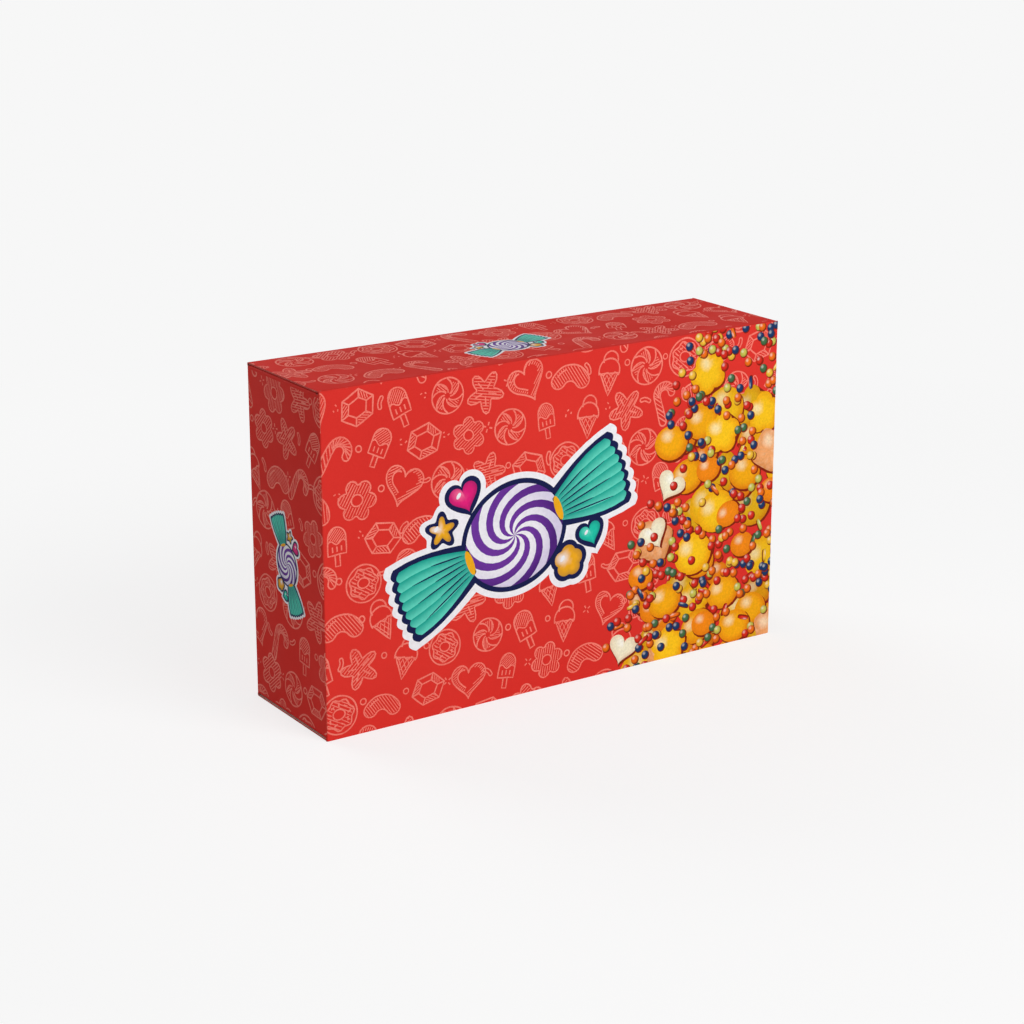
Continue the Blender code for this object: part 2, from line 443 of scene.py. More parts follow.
@dataclass(frozen=True)
class GroundFinish:
    """The red ground, printed solid on the board, paler in patches along the upright folds."""

    red: Colour = ink(225, 54, 46)
    deep: Colour = ink(217, 48, 42)
    scuffed: Colour = ink(236, 112, 98)
    wear: float = 0.42

    def make(self) -> Ink:
        """Builds the material.

        Returns:
            The material.
        """
        recipe = Recipe("printed_red_ground")
        cloud = recipe.band(recipe.grain(14, 3), 0.3, 0.7, 0, 1)
        speck = recipe.band(recipe.grain(1800), 0.35, 0.65, 0, 0.35)
        tone = recipe.sum("MULTIPLY", recipe.sum("ADD", cloud, speck), 0.8)
        # Near the upright folds the red is mixed in patches towards a paler pink.
        pale_fold_mask = recipe.band(recipe.grain(420, 4, (1, 1, 0.2)), 0.54, 0.68, 0, self.wear)
        places = recipe.node("SeparateXYZ", {0: recipe.places}).outputs
        for place, fold in zip(places, (SIZES.out_x, SIZES.out_y)):
            away, radius = recipe.sum("ABSOLUTE", place, 0.0), SIZES.fold_radius
            near = recipe.band(away, fold - radius, fold - radius / 4, 0, 1)
            pale_fold_mask = recipe.sum("MULTIPLY", pale_fold_mask, near)
        ground = recipe.blend(tone, self.red, self.deep)
        return VARNISH.lay(recipe, recipe.blend(pale_fold_mask, ground, self.scuffed), 0.58, 0.7)


@dataclass(frozen=True)
class RawFinish:
    """The unprinted inside of the board: off-white, matt, with fibres and a few specks."""

    pale: Colour = ink(226, 220, 206)
    shade: Colour = ink(208, 200, 184)
    speck: Colour = ink(166, 152, 130)
    relief: float = 0.02 * MM
    gloss: float = 0.25

    def make(self) -> Ink:
        """Builds the material.

        Returns:
            The material.
        """
        recipe = Recipe("raw_board_inside")
        fibre = recipe.band(recipe.grain(700, 4, (1, 1, 4)), 0.35, 0.65, 0, 1)
        cloud = recipe.band(recipe.grain(35, 3), 0.3, 0.7, 0, 0.6)
        base = recipe.blend(recipe.sum("MULTIPLY", fibre, cloud), self.pale, self.shade)
        dots = recipe.band(recipe.grain(1100, 1), 0.7, 0.76, 0, 0.7)
        colour, rough = recipe.blend(dots, base, self.speck), recipe.band(fibre, 0, 1, 0.8, 0.92)
        return recipe.finish(colour, rough, fibre, self.relief, self.gloss)


@dataclass(frozen=True)
class MottledFinish:
    """A surface of two tones that one grain mixes, roughens and raises."""

    name: str
    first: Colour
    second: Colour
    grain: tuple[float | tuple[float, ...], ...]
    span: Flat
    most: float
    rough: Flat
    gloss: float
    relief: float = 0.03 * MM

    def make(self) -> Ink:
        """Builds the material.

        Returns:
            The material.
        """
        recipe = Recipe(self.name)
        tone = recipe.band(recipe.grain(*self.grain), *self.span, 0, self.most)
        colour, rough = recipe.blend(tone, self.first, self.second), recipe.band(tone, 0, 1, *self.rough)
        return recipe.finish(colour, rough, tone, self.relief, self.gloss)


# The board's cut edge: pulp stained by the ink that wraps onto it.
CUT_EDGE = MottledFinish(
    "cut_board_edge", ink(196, 52, 46), ink(214, 128, 112),
    (900, 4, (1, 1, 3)), (0.45, 0.7), 0.7, (0.7, 0.85), 0.25,
)
# The dried line of glue in the side seam.
SEAM_GLUE = MottledFinish(
    "dried_seam_glue", ink(226, 216, 184), ink(204, 188, 146),
    (260, 3), (0.35, 0.7), 1, (0.28, 0.5), 0.5,
)


@dataclass(frozen=True)
class ChalkFinish:
    """The pale line drawings, printed to look like chalk that skips over the ground."""

    chalk: Colour = ink(250, 145, 129)
    skip: Colour = ink(232, 92, 80)

    def make(self) -> Ink:
        """Builds the material.

        Returns:
            The material.
        """
        recipe = Recipe("chalk_line_ink")
        skips = recipe.band(recipe.grain(3400, 3), 0.42, 0.62, 0, 0.75)
        fade = recipe.band(recipe.grain(160), 0.35, 0.7, 0.05, 0.4)
        tone = recipe.sum("ADD", recipe.sum("MULTIPLY", skips, 0.7), fade)
        return VARNISH.lay(recipe, recipe.blend(tone, self.chalk, self.skip), 0.38, 0.48)


@dataclass(frozen=True)
class PictureFinish:
    """Full-colour ink that follows each mesh's own colours, with the grain of the print."""

    name: str
    grain: float
    depth: float

    def make(self) -> Ink:
        """Builds the material.

        Returns:
            The material.
        """
        recipe = Recipe(self.name)
        own = recipe.value("Attribute", {}, attribute_name=PAINT_LAYER)
        fine = recipe.band(recipe.grain(self.grain, 3), 0.3, 0.7, 1 - self.depth, 1 + self.depth)
        tint = recipe.value("CombineColor", {"Red": fine, "Green": fine, "Blue": fine})
        return VARNISH.lay(recipe, recipe.blend(1.0, own, tint, "MULTIPLY"), 0.34, 0.44)


@dataclass(frozen=True)
class BoardSkin:
    """The three materials of a board: printed face, raw inside and cut edge."""

    printed: Ink
    raw: Ink
    edge: Ink

    def thicken(self, piece: Piece) -> None:
        """Gives an open sheet its materials, and its board away from the printed side.

        Args:
            piece: The sheet, with its normals on the printed side.
        """
        piece.data.materials.clear()
        for material in (self.printed, self.raw, self.edge):
            piece.data.materials.append(material)
        slots = {"material_offset": 1, "material_offset_rim": 2}
        Bench.finish(
            piece, "SOLIDIFY", thickness=SIZES.thickness, offset=-1.0, use_even_offset=True, **slots
        )


@dataclass(frozen=True)
class Face:
    """One printed face of the carton: where its flat drawing goes, and where it folds on or ends."""

    name: str
    body: str
    origin: Vector
    across: Vector
    up: Vector
    low: Flat
    high: Flat
    bends: Flat = (-math.inf, math.inf)
    corner: float = 0.0
    steps: int = 3

    def cover(self, piece: Piece) -> None:
        """Trims a flat print to this face, folds it on round the corners and lays it down.

        Args:
            piece: The print, flat in XY, with its underside a little below 0.
        """
        for (x, y), side in ((self.low, -1), (self.high, 1)):
            Bench.trim(piece, Vector((x, 0, 0)), Vector((side, 0, 0)))
            Bench.trim(piece, Vector((0, y, 0)), Vector((0, side, 0)))
            if self.corner:
                place = Vector((x - side * self.corner, self.low[1], 0))
                Bench.trim(piece, place, Vector((side, -1, 0)))
        for bend, side in zip(self.bends, (-1, 1)):
            if math.isfinite(bend):
                self.fold(piece, bend, side)
        piece.data.transform(frame_of(self.origin, self.across, self.up))
        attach(piece, self.body)
        LOG.info("%s: %d faces", piece.name, len(piece.data.polygons))

    def fold(self, piece: Piece, bend: float, side: int) -> None:
        """Folds what lies past a bend round the carton's corner.

        Args:
            piece: The flat print.
            bend: Where the corner's curve begins.
            side: 1 for the drawing's right, -1 for its left.
        """
        stretch = (self.high[0] if side > 0 else -self.low[0]) - side * bend
        for step in range(self.steps):
            line = bend + side * stretch * step / self.steps
            Bench.cut(piece, Vector((line, 0, 0)), Vector((side, 0, 0)), clear=False)
        for vertex in piece.data.vertices:
            turn = (vertex.co.x - bend) * side / SIZES.fold_radius
            if turn > 0:
                reach = SIZES.fold_radius + vertex.co.z
                vertex.co.x = bend + side * reach * math.sin(turn)
                vertex.co.z = reach * math.cos(turn) - SIZES.fold_radius

    def near(self, place: Flat, reach: float) -> bool:
        """Tells whether something of some reach at a place, in millimetres, may show on this face."""
        spans = zip(self.low, place, self.high)
        return all(low / MM - reach < at < high / MM + reach for low, at, high in spans)


@dataclass(frozen=True)
class Crease:
    """A bent strip of board between two panels."""

    body_a: str
    body_b: str
    corner: Vector
    toward: Vector
    out: Vector
    turn: float
    span: Flat

    @property
    def place(self) -> Matrix:
        """The move from the strip's own axes: X along the crease, Y toward it, Z out."""
        return frame_of(self.corner, self.toward.cross(self.out), self.toward)

    @property
    def start(self) -> Vector:
        """Where the first panel ends and the strip begins, in the strip's axes."""
        return Vector((0, -SIZES.crease_reach, 0))

    @property
    def end(self) -> Vector:
        """Where the strip ends and the second panel begins, in the strip's axes."""
        reach = SIZES.crease_reach
        return Vector((0, reach * math.cos(self.turn), -reach * math.sin(self.turn)))

    @property
    def ends_along(self) -> list[float]:
        """The strip's two ends along its own X axis."""
        along = self.toward.cross(self.out)
        return sorted(along.dot(Vector((at, at, at))) for at in self.span)

    def build(self, skin: BoardSkin) -> Piece:
        """Models the strip and puts it in place between its two panels.

        Args:
            skin: The board's materials.

        Returns:
            The strip.
        """
        low, high = self.ends_along
        tangent = SIZES.fold_radius * math.tan(self.turn / 2)
        spare = SIZES.crease_reach + SIZES.board * 2
        strip = Bench.panel(self.body_b + "_fold", (low, -spare), (high, -tangent))
        with Bench.shaping(strip, Part.EDGE, lambda at: at.y > -tangent - SIZES.rise):
            middle = (0, -tangent, -SIZES.fold_radius)
            bpy.ops.mesh.spin(steps=SIZES.crease_steps, angle=self.turn, center=middle, axis=(1, 0, 0))
            run = self.end.normalized() * (spare - tangent)
            bpy.ops.mesh.extrude_region_move(TRANSFORM_OT_translate={"value": run})
        Bench.mend(strip)
        if max(strip.data.polygons, key=lambda polygon: abs(polygon.normal.z)).normal.z < 0:
            with Bench.shaping(strip):
                bpy.ops.mesh.flip_normals()
        skin.thicken(strip)
        facing = (self.end - self.start).normalized()
        Bench.cut(strip, self.start, -facing)
        Bench.cut(strip, self.end, facing)
        strip.data.transform(self.place)
        start, end = (tuple(self.place @ at) for at in (self.start, self.end))
        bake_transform(strip)
        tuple(start)
        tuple(end)
        return strip

    def seat(self, skin: BoardSkin, *panels: Piece) -> None:
        """Cuts the panels back to where the strip begins and ends.

        Args:
            skin: The board's materials, whose edge the cut shows.
            *panels: The panels that the strip joins.
        """
        (low, high), step = self.ends_along, self.end - self.start
        block = Bench.add("seat_cutter", bpy.ops.mesh.primitive_cube_add, size=1)
        size = (high - low, step.length, SIZES.board * 10)
        middle = (self.start + self.end) / 2 + RIGHT * (low + high) / 2
        turned = frame_of(middle, RIGHT, step.normalized())
        block.data.transform(self.place @ turned @ Matrix.Diagonal((*size, 1)))
        block.data.materials.append(skin.edge)
        how = {"operation": "DIFFERENCE", "solver": "EXACT", "material_mode": "TRANSFER"}
        for panel in panels:
            Bench.finish(panel, "BOOLEAN", object=block, **how)
        Bench.drop(block)


@dataclass(frozen=True)
class Sleeve:
    """The four walls and the glue tab, folded from one sheet and parted beside the folds."""

    skin: BoardSkin
    land: float = 0.2 * MM
    tab_end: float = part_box("glue_flap")[0].y
    tab_taper: float = math.radians(15)

    def fold_sheet(self) -> Piece:
        """Folds the open sheet round the carton, with rounded folds, its printed side out.

        Returns:
            The folded sheet.
        """
        wide, deep, tab, near = SIZES.out_x, SIZES.out_y, SIZES.tab_fold, self.land / 2
        sheet = Bench.panel("sleeve_sheet", (-wide, -self.land), (wide, SIZES.height + self.land))
        sheet.data.transform(frame_of(Vector((0, -deep, 0)), RIGHT, UP))
        turns = (
            (lambda at: at.x > wide - near, (0, 2 * deep, 0)),
            (lambda at: at.x < near - wide, (0, 2 * deep, 0)),
            (lambda at: at.x < near - wide and at.y > deep - near, (wide + tab, 0, 0)),
            (lambda at: abs(at.x - tab) < near and at.y > deep - near, (0, self.tab_end - deep, 0)),
        )
        for rule, move in turns:
            with Bench.shaping(sheet, Part.EDGE, rule):
                bpy.ops.mesh.extrude_region_move(TRANSFORM_OT_translate={"value": move})
        corners = ((wide, -deep), (-wide, -deep), (-wide, deep), (tab, deep))
        with Bench.shaping(
            sheet, Part.EDGE, lambda at: any(math.dist(at.xy, corner) < near for corner in corners)
        ):
            bpy.ops.mesh.bevel(
                offset=SIZES.fold_radius, segments=SIZES.fold_steps, profile=0.5, affect="EDGES"
            )
        for side in (-1, 1):
            reach = side * (deep - SIZES.fold_radius - self.land)
            Bench.cut(sheet, Vector((0, reach, 0)), Vector((0, side, 0)), clear=False)
        Bench.mend(sheet)
        return sheet

    def part(self, sheet: Piece) -> dict[str, Piece]:
        """Parts the folded sheet into its walls.

        Args:
            sheet: The folded sheet.

        Returns:
            The walls by name.
        """
        near, flat = self.land / 2, SIZES.out_y - SIZES.fold_radius - self.land
        rules = {
            "front_wall": lambda at: at.y < near - flat,
            "left_wall": lambda at: at.x < near - SIZES.out_x and at.y < flat + near,
            "right_wall": lambda at: at.x > SIZES.out_x - near,
            "glue_tab": lambda at: abs(at.x - SIZES.tab_fold) < near and at.y < flat + near,
        }
        walls = {}
        for name, rule in rules.items():
            with Bench.shaping(sheet, Part.FACE, rule):
                bpy.ops.mesh.separate(type="SELECTED")
            walls[name] = next(piece for piece in bpy.context.selected_objects if piece != sheet)
        walls["back_wall"] = sheet
        for name, wall in walls.items():
            wall.name = wall.data.name = name
        return walls

    def build(self) -> dict[str, Piece]:
        """Models the walls and puts them in place of the plain panels.

        Returns:
            The walls by name.
        """
        nodes = {"left_wall": "left_side_panel", "right_wall": "right_side_panel", "glue_tab": "glue_flap"}
        walls = self.part(self.fold_sheet())
        for name in ("front_wall", "left_wall", "right_wall", "back_wall", "glue_tab"):
            wall, node = walls[name], nodes.get(name, name.replace("wall", "panel"))
            self.skin.thicken(wall)
            for corner, facing in zip(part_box(node), (-1, 1)):
                place, out = Vector((0, SIZES.out_y, corner.z)), Vector((0, 0, facing))
                if name == "glue_tab":
                    out.rotate(Matrix.Rotation(facing * self.tab_taper, 3, "X"))
                Bench.cut(wall, place, out)
            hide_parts(node)
            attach(wall, "carton")
            LOG.info("%s: %d faces", name, len(wall.data.polygons))
        return walls

    def faces(self) -> dict[str, Face]:
        """Lists the walls' printed faces by name, each with half of the fold at either side.

        Returns:
            The faces.
        """
        hem, reach, radius = SIZES.hem, SIZES.crease_reach, SIZES.fold_radius
        x, y, half = SIZES.out_x, SIZES.out_y, radius * math.pi / 4
        flat_x, flat_y, flat_tab = x - radius, y - radius, SIZES.tab_fold - radius
        (low, high), (rear_low, rear_high) = (
            (box[0].z + reach, box[1].z - reach) for box in map(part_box, ("left_side_panel", "back_panel"))
        )
        front = ((-flat_x - half, hem), (flat_x + half, SIZES.height - hem), (-flat_x, flat_x))
        left = ((-flat_y - half, low), (flat_y + half, high), (-flat_y, flat_y))
        right = ((-flat_y - half, low), (y - hem, high), (-flat_y, math.inf))
        back = ((-flat_tab - half, rear_low), (flat_x + half, rear_high), (-flat_tab, flat_x))
        return {
            "front": Face("front", "carton", Vector((0, -y, 0)), RIGHT, UP, *front),
            "left": Face("left", "carton", Vector((-x, 0, 0)), -BACK, UP, *left),
            "right": Face("right", "carton", Vector((x, 0, 0)), BACK, UP, *right),
            "back": Face("back", "carton", Vector((0, y, 0)), -RIGHT, UP, *back),
        }


class End(Enum):
    """The carton's two ends, with the way each faces along Z."""

    TOP = 1
    BOTTOM = -1


class Side(Enum):
    """The carton's two narrow sides, with the way into the box along X."""

    LEFT = 1
    RIGHT = -1


@dataclass(frozen=True)
class Closure:
    """One end of the carton: closure panel, tuck flap, two dust flaps and their creases."""

    end: End
    skin: BoardSkin
    lean: float = math.radians(12)
    tuck_depth: float = 13.42 * MM
    tuck_corner: float = 8.5 * MM
    corner_steps: int = 8
    dust_corner: float = 4.0 * MM
    shoulder_length: float = 9.0 * MM
    shoulder_drop: float = 3.0 * MM
    shoulder_corner: float = 1.2 * MM
    taper: float = math.radians(30)

    def name(self, part: str) -> str:
        """Names a part of this end."""
        return f"{self.end.name.lower()}_{part}"

    @property
    def facing(self) -> Vector:
        """The way this end faces."""
        return Vector((0, 0, self.end.value))

    @property
    def across(self) -> Vector:
        """The X axis of a drawing on this end."""
        return Vector((self.end.value, 0, 0))

    @property
    def level(self) -> float:
        """The height of the closure panel's printed face."""
        return SIZES.height - SIZES.rise if self.end is End.TOP else SIZES.rise

    def dust_level(self, low: Vector, high: Vector) -> float:
        """The height of a dust flap's printed face, from the flap's box."""
        return (high.z if self.end is End.TOP else low.z) - self.end.value * SIZES.rise

    @property
    def tuck_hinge(self) -> float:
        """Where the tuck crease's outer corner lies along Y."""
        hinge = next(it["pos_m"][1] for it in frame["joints"] if it["name"] == self.name("tuck_crease"))
        return hinge + SIZES.rise * (1 + math.sin(self.lean)) / math.cos(self.lean)

    @property
    def tuck_up(self) -> Vector:
        """The way up the tuck flap, towards its crease."""
        return Vector((0, -math.sin(self.lean), self.end.value * math.cos(self.lean)))

    def creases(self) -> dict[str, Crease]:
        """Lists the four creases of this end, by the panel that each one turns.

        Returns:
            The creases.
        """
        name, square, (low, _) = self.name, math.pi / 2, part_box(self.name("closure_panel"))
        tuck = tuple(corner.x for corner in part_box(name("tuck_flap")))
        rear, front = Vector((0, SIZES.out_y, self.level)), Vector((0, self.tuck_hinge, self.level))
        bodies, ends = ("carton", name("closure")), (low.x, SIZES.tab_fold)
        made = {
            "closure": Crease(*bodies, rear, self.facing, BACK, square, ends),
            "tuck": Crease(bodies[1], name("tuck"), front, -BACK, self.facing, square + self.lean, tuck),
        }
        for side in Side:
            part, hand = side.name.lower() + "_dust", -side.value
            low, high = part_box(name(part + "_flap"))
            corner, out = Vector((hand * SIZES.out_x, 0, self.dust_level(low, high))), Vector((hand, 0, 0))
            made[part] = Crease("carton", name(part), corner, self.facing, out, square, (low.y, high.y))
        return made

    def settle(self, made: Piece, part: str, place: Matrix) -> Piece:
        """Gives a flat board its thickness and place, and hangs it on its body.

        Args:
            made: The flat board.
            part: Which part of this end it is.
            place: The move to its place.

        Returns:
            The board.
        """
        self.skin.thicken(made)
        made.data.transform(place)
        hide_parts(self.name(part + ("_panel" if part == "closure" else "_flap")))
        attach(made, self.name(part))
        return made

    def build_panel(self) -> Piece:
        """Models the closure panel.

        Returns:
            The panel.
        """
        low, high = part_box(self.name("closure_panel"))
        made = Bench.panel(self.name("closure_board"), (low.x, low.y), (high.x, high.y))
        return self.settle(made, "closure", frame_of(Vector((0, 0, self.level)), self.across, BACK))

    def build_tuck(self) -> Piece:
        """Models the tuck flap with its round free corners.

        Returns:
            The flap.
        """
        reach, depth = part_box(self.name("tuck_flap"))[1].x, self.tuck_depth
        made = Bench.panel(self.name("tuck_board"), (-reach, -depth), (reach, 0))
        with Bench.shaping(made, Part.POINT, lambda at: at.y < -depth / 2):
            self.round_off(self.tuck_corner)
        place = frame_of(Vector((0, self.tuck_hinge, self.level)), self.across, self.tuck_up)
        return self.settle(made, "tuck", place)

    def round_off(self, radius: float) -> None:
        """Rounds the picked corners of a flat board."""
        bpy.ops.mesh.bevel(offset=radius, segments=self.corner_steps, affect="VERTICES")

    def build_dust(self, side: Side) -> Piece:
        """Models one dust flap, tapered at the rear and stepped at the front.

        Args:
            side: The side that the flap is on.

        Returns:
            The flap.
        """
        part, near = side.name.lower() + "_dust", SIZES.rise
        low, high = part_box(self.name(part + "_flap"))
        hand, hinge = side.value * self.end.value, SIZES.half_width
        root, tip = sorted((hinge - abs(low.x), hinge - abs(high.x)))
        step = Vector((self.shoulder_length, low.y + self.shoulder_drop, 0))
        made = Bench.panel(self.name(part + "_board"), (root, low.y), (tip, high.y))
        slope = Vector((math.sin(self.taper), math.cos(self.taper), 0))
        Bench.cut(made, Vector((root, high.y, 0)), slope, fill=False)
        for along in (RIGHT, BACK):
            Bench.cut(made, step, along, clear=False)
        with Bench.shaping(made, Part.FACE, lambda at: at.x > step.x - near and at.y < step.y + near):
            bpy.ops.mesh.delete(type="FACE")
            bpy.ops.mesh.select_all(action="SELECT")
            bpy.ops.mesh.dissolve_limited()
        tip_high = Vector((tip, high.y - (tip - root) * math.tan(self.taper), 0))
        rounded = (
            (Vector((tip, step.y, 0)), self.dust_corner),
            (tip_high, self.dust_corner / 2),
            (step, self.shoulder_corner),
            (Vector((step.x, low.y, 0)), self.shoulder_corner),
        )
        for corner, radius in rounded:
            with Bench.shaping(made, Part.POINT, lambda at: (at - corner).length < near):
                self.round_off(radius)
        if hand < 0:
            made.data.transform(Matrix.Diagonal((1, -1, 1, 1)))
            made.data.flip_normals()
        origin = Vector((-side.value * hinge, 0, self.dust_level(low, high)))
        place = frame_of(origin, Vector((side.value, 0, 0)), Vector((0, hand, 0)))
        return self.settle(made, part, place)

    def build(self, walls: dict[str, Piece]) -> None:
        """Models this end and joins it to the walls by its creases.

        Args:
            walls: The sleeve's walls by name.
        """
        panel, tuck = self.build_panel(), self.build_tuck()
        joined = {"closure": (walls["back_wall"], panel), "tuck": (panel, tuck)}
        for side in Side:
            part = side.name.lower()
            joined[part + "_dust"] = (walls[part + "_wall"], self.build_dust(side))
        for part, crease in self.creases().items():
            crease.seat(self.skin, *joined[part])
            strip, flap = crease.build(self.skin), joined[part][1]
            LOG.info("%s and %s: %d faces", flap.name, strip.name, len(strip.data.polygons))

    def faces(self) -> dict[str, Face]:
        """Lists the printed faces of the closure panel and the tuck flap by name.

        Returns:
            The faces.
        """
        name, hand, hem, reach = self.end.name.lower(), self.end.value, SIZES.hem, SIZES.crease_reach
        (low, high), (left, right) = (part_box(self.name(part)) for part in ("closure_panel", "tuck_flap"))
        near, far = sorted((hand * low.y, hand * high.y))
        rear, front = Vector((0, 0, self.level)), Vector((0, self.tuck_hinge, self.level))
        panel = ((low.x + hem, near + reach * 1.5), (high.x - hem, far - reach * 1.5))
        tuck = ((left.x + hem, hem - self.tuck_depth), (right.x - hem, -reach - hem))
        flap, turned = self.name("tuck"), Vector((0, hand, 0))
        return {
            name: Face(name, self.name("closure"), rear, RIGHT, turned, *panel),
            flap: Face(flap, flap, front, self.across, self.tuck_up, *tuck, corner=self.tuck_corner),
        }


def heart_curve(t: float) -> Flat:
    """Gives a point of a heart 32 wide, from its cleft round by its right."""
    y = 13 * math.cos(t) - 5 * math.cos(2 * t) - 2 * math.cos(3 * t) - math.cos(4 * t)
    return (16 * math.sin(t) ** 3, y)


class Pen:
    """Strokes in millimetres, as lists of evenly spaced points."""

    STEP = 1.0
    MOST_TURN = 30
    SHY = 0.55
    FIRST = 0.7

    @staticmethod
    def trace(rule: Outline, length: float) -> Stroke:
        """Samples a curve of about some length, given by a rule for shares from 0 to 1."""
        count = max(3, round(length / Pen.STEP))
        return [rule(index / count) for index in range(count + 1)]

    @staticmethod
    def arc(middle: Flat, radius: float, start: float, end: float, squash: float = 1.0) -> Stroke:
        """Draws an arc of a circle or an ellipse.

        Args:
            middle: The centre.
            radius: The radius along X.
            start: The first angle, in degrees.
            end: The last angle, in degrees.
            squash: The radius along Y as a share of that along X.

        Returns:
            The stroke.
        """

        def point(share: float) -> Flat:
            """Gives the point at a share of the arc."""
            x, y = plain(math.radians(start + (end - start) * share), radius)
            return (middle[0] + x, middle[1] + y * squash)

        span = abs(end - start)
        return Pen.trace(point, max(math.radians(span) * radius, span / Pen.MOST_TURN * Pen.STEP))

    @staticmethod
    def ring(middle: Flat, radius: float, squash: float = 1.0) -> Stroke:
        """Draws a closed circle or ellipse."""
        stroke = Pen.arc(middle, radius, 0, 360, squash)
        return stroke[:-1] + stroke[:1]

    @staticmethod
    def line(*points: Flat) -> Stroke:
        """Draws straight runs from point to point.

        Args:
            *points: The corners, of which the last may repeat the first.

        Returns:
            The stroke.
        """
        stroke = [points[0]]
        for (ax, ay), (bx, by) in zip(points, points[1:]):
            count = max(1, round(math.dist((ax, ay), (bx, by)) / (Pen.STEP * 2)))
            for share in (index / count for index in range(1, count + 1)):
                stroke.append((ax + (bx - ax) * share, ay + (by - ay) * share))
        return stroke[:-1] + stroke[:1] if math.dist(points[0], points[-1]) < Pen.STEP / 100 else stroke

    @staticmethod
    def polar(rule: Callable[[float], float], length: float, turn: float = 0.0) -> Stroke:
        """Draws a closed, turned outline of about some length from its radius at each angle."""
        stroke = Pen.trace(lambda share: plain(math.tau * share + turn, rule(math.tau * share)), length)
        return stroke[:-1] + stroke[:1]

    @staticmethod
    def band(path: Stroke, half: float) -> Stroke:
        """Outlines a band along a path, with round ends.

        Args:
            path: The band's middle line.
            half: Half the band's width.

        Returns:
            The closed outline.
        """
        left, right, caps = [], [], []
        for index, (x, y) in enumerate(path):
            before, after = path[max(0, index - 1)], path[min(len(path) - 1, index + 1)]
            run = math.dist(before, after)
            nx, ny = (before[1] - after[1]) / run * half, (after[0] - before[0]) / run * half
            left.append((x + nx, y + ny))
            right.append((x - nx, y - ny))
        for tip, side in ((path[-1], left[-1]), (path[0], right[0])):
            angle = math.degrees(math.atan2(side[1] - tip[1], side[0] - tip[0]))
            caps.append(Pen.arc(tip, half, angle, angle - 180)[1:-1])
        return [*left, *caps[0], *right[::-1], *caps[1], left[0]]

    @staticmethod
    def hatch(loops: Sequence[Stroke], lean: float, gap: float = 0.95) -> list[Stroke]:
        """Fills the space inside closed outlines, and outside those within them, with fine strokes.

        Args:
            loops: The closed outlines.
            lean: The strokes' angle, in degrees.
            gap: The distance between two strokes.

        Returns:
            The strokes, which stop short of the outlines.
        """
        turn, shy, strokes = math.radians(lean), Pen.SHY, []
        cos, sin = math.cos(turn), math.sin(turn)
        flat = [[(x * cos + y * sin, y * cos - x * sin) for x, y in loop] for loop in loops]
        levels = [y for loop in flat for _, y in loop]
        level = min(levels) + gap * Pen.FIRST
        while level < max(levels):
            cuts = sorted(
                ax + (bx - ax) * (level - ay) / (by - ay)
                for loop in flat
                for (ax, ay), (bx, by) in zip(loop, loop[1:])
                if (ay > level) != (by > level)
            )
            for left, right in zip(cuts[::2], cuts[1::2]):
                if right - left > shy * 3:
                    ends = ((left + shy, level), (right - shy, level))
                    strokes.append([(x * cos - y * sin, x * sin + y * cos) for x, y in ends])
            level += gap
        return strokes


# The sweets that the pale line pattern draws, and the small marks between them.
Motif = Enum("Motif", "CANE HEART STAR RING BEAN LOLLY CONE GEM FLOWER MINT")
Filler = Enum("Filler", "BUBBLE SPARK COMMA CRUMBS")


@dataclass(frozen=True)
class Drawing:
    """A motif's strokes: its lines, and the finer chalk hatching between them."""

    lines: list[Stroke]
    hatch: list[Stroke] = field(default_factory=list)


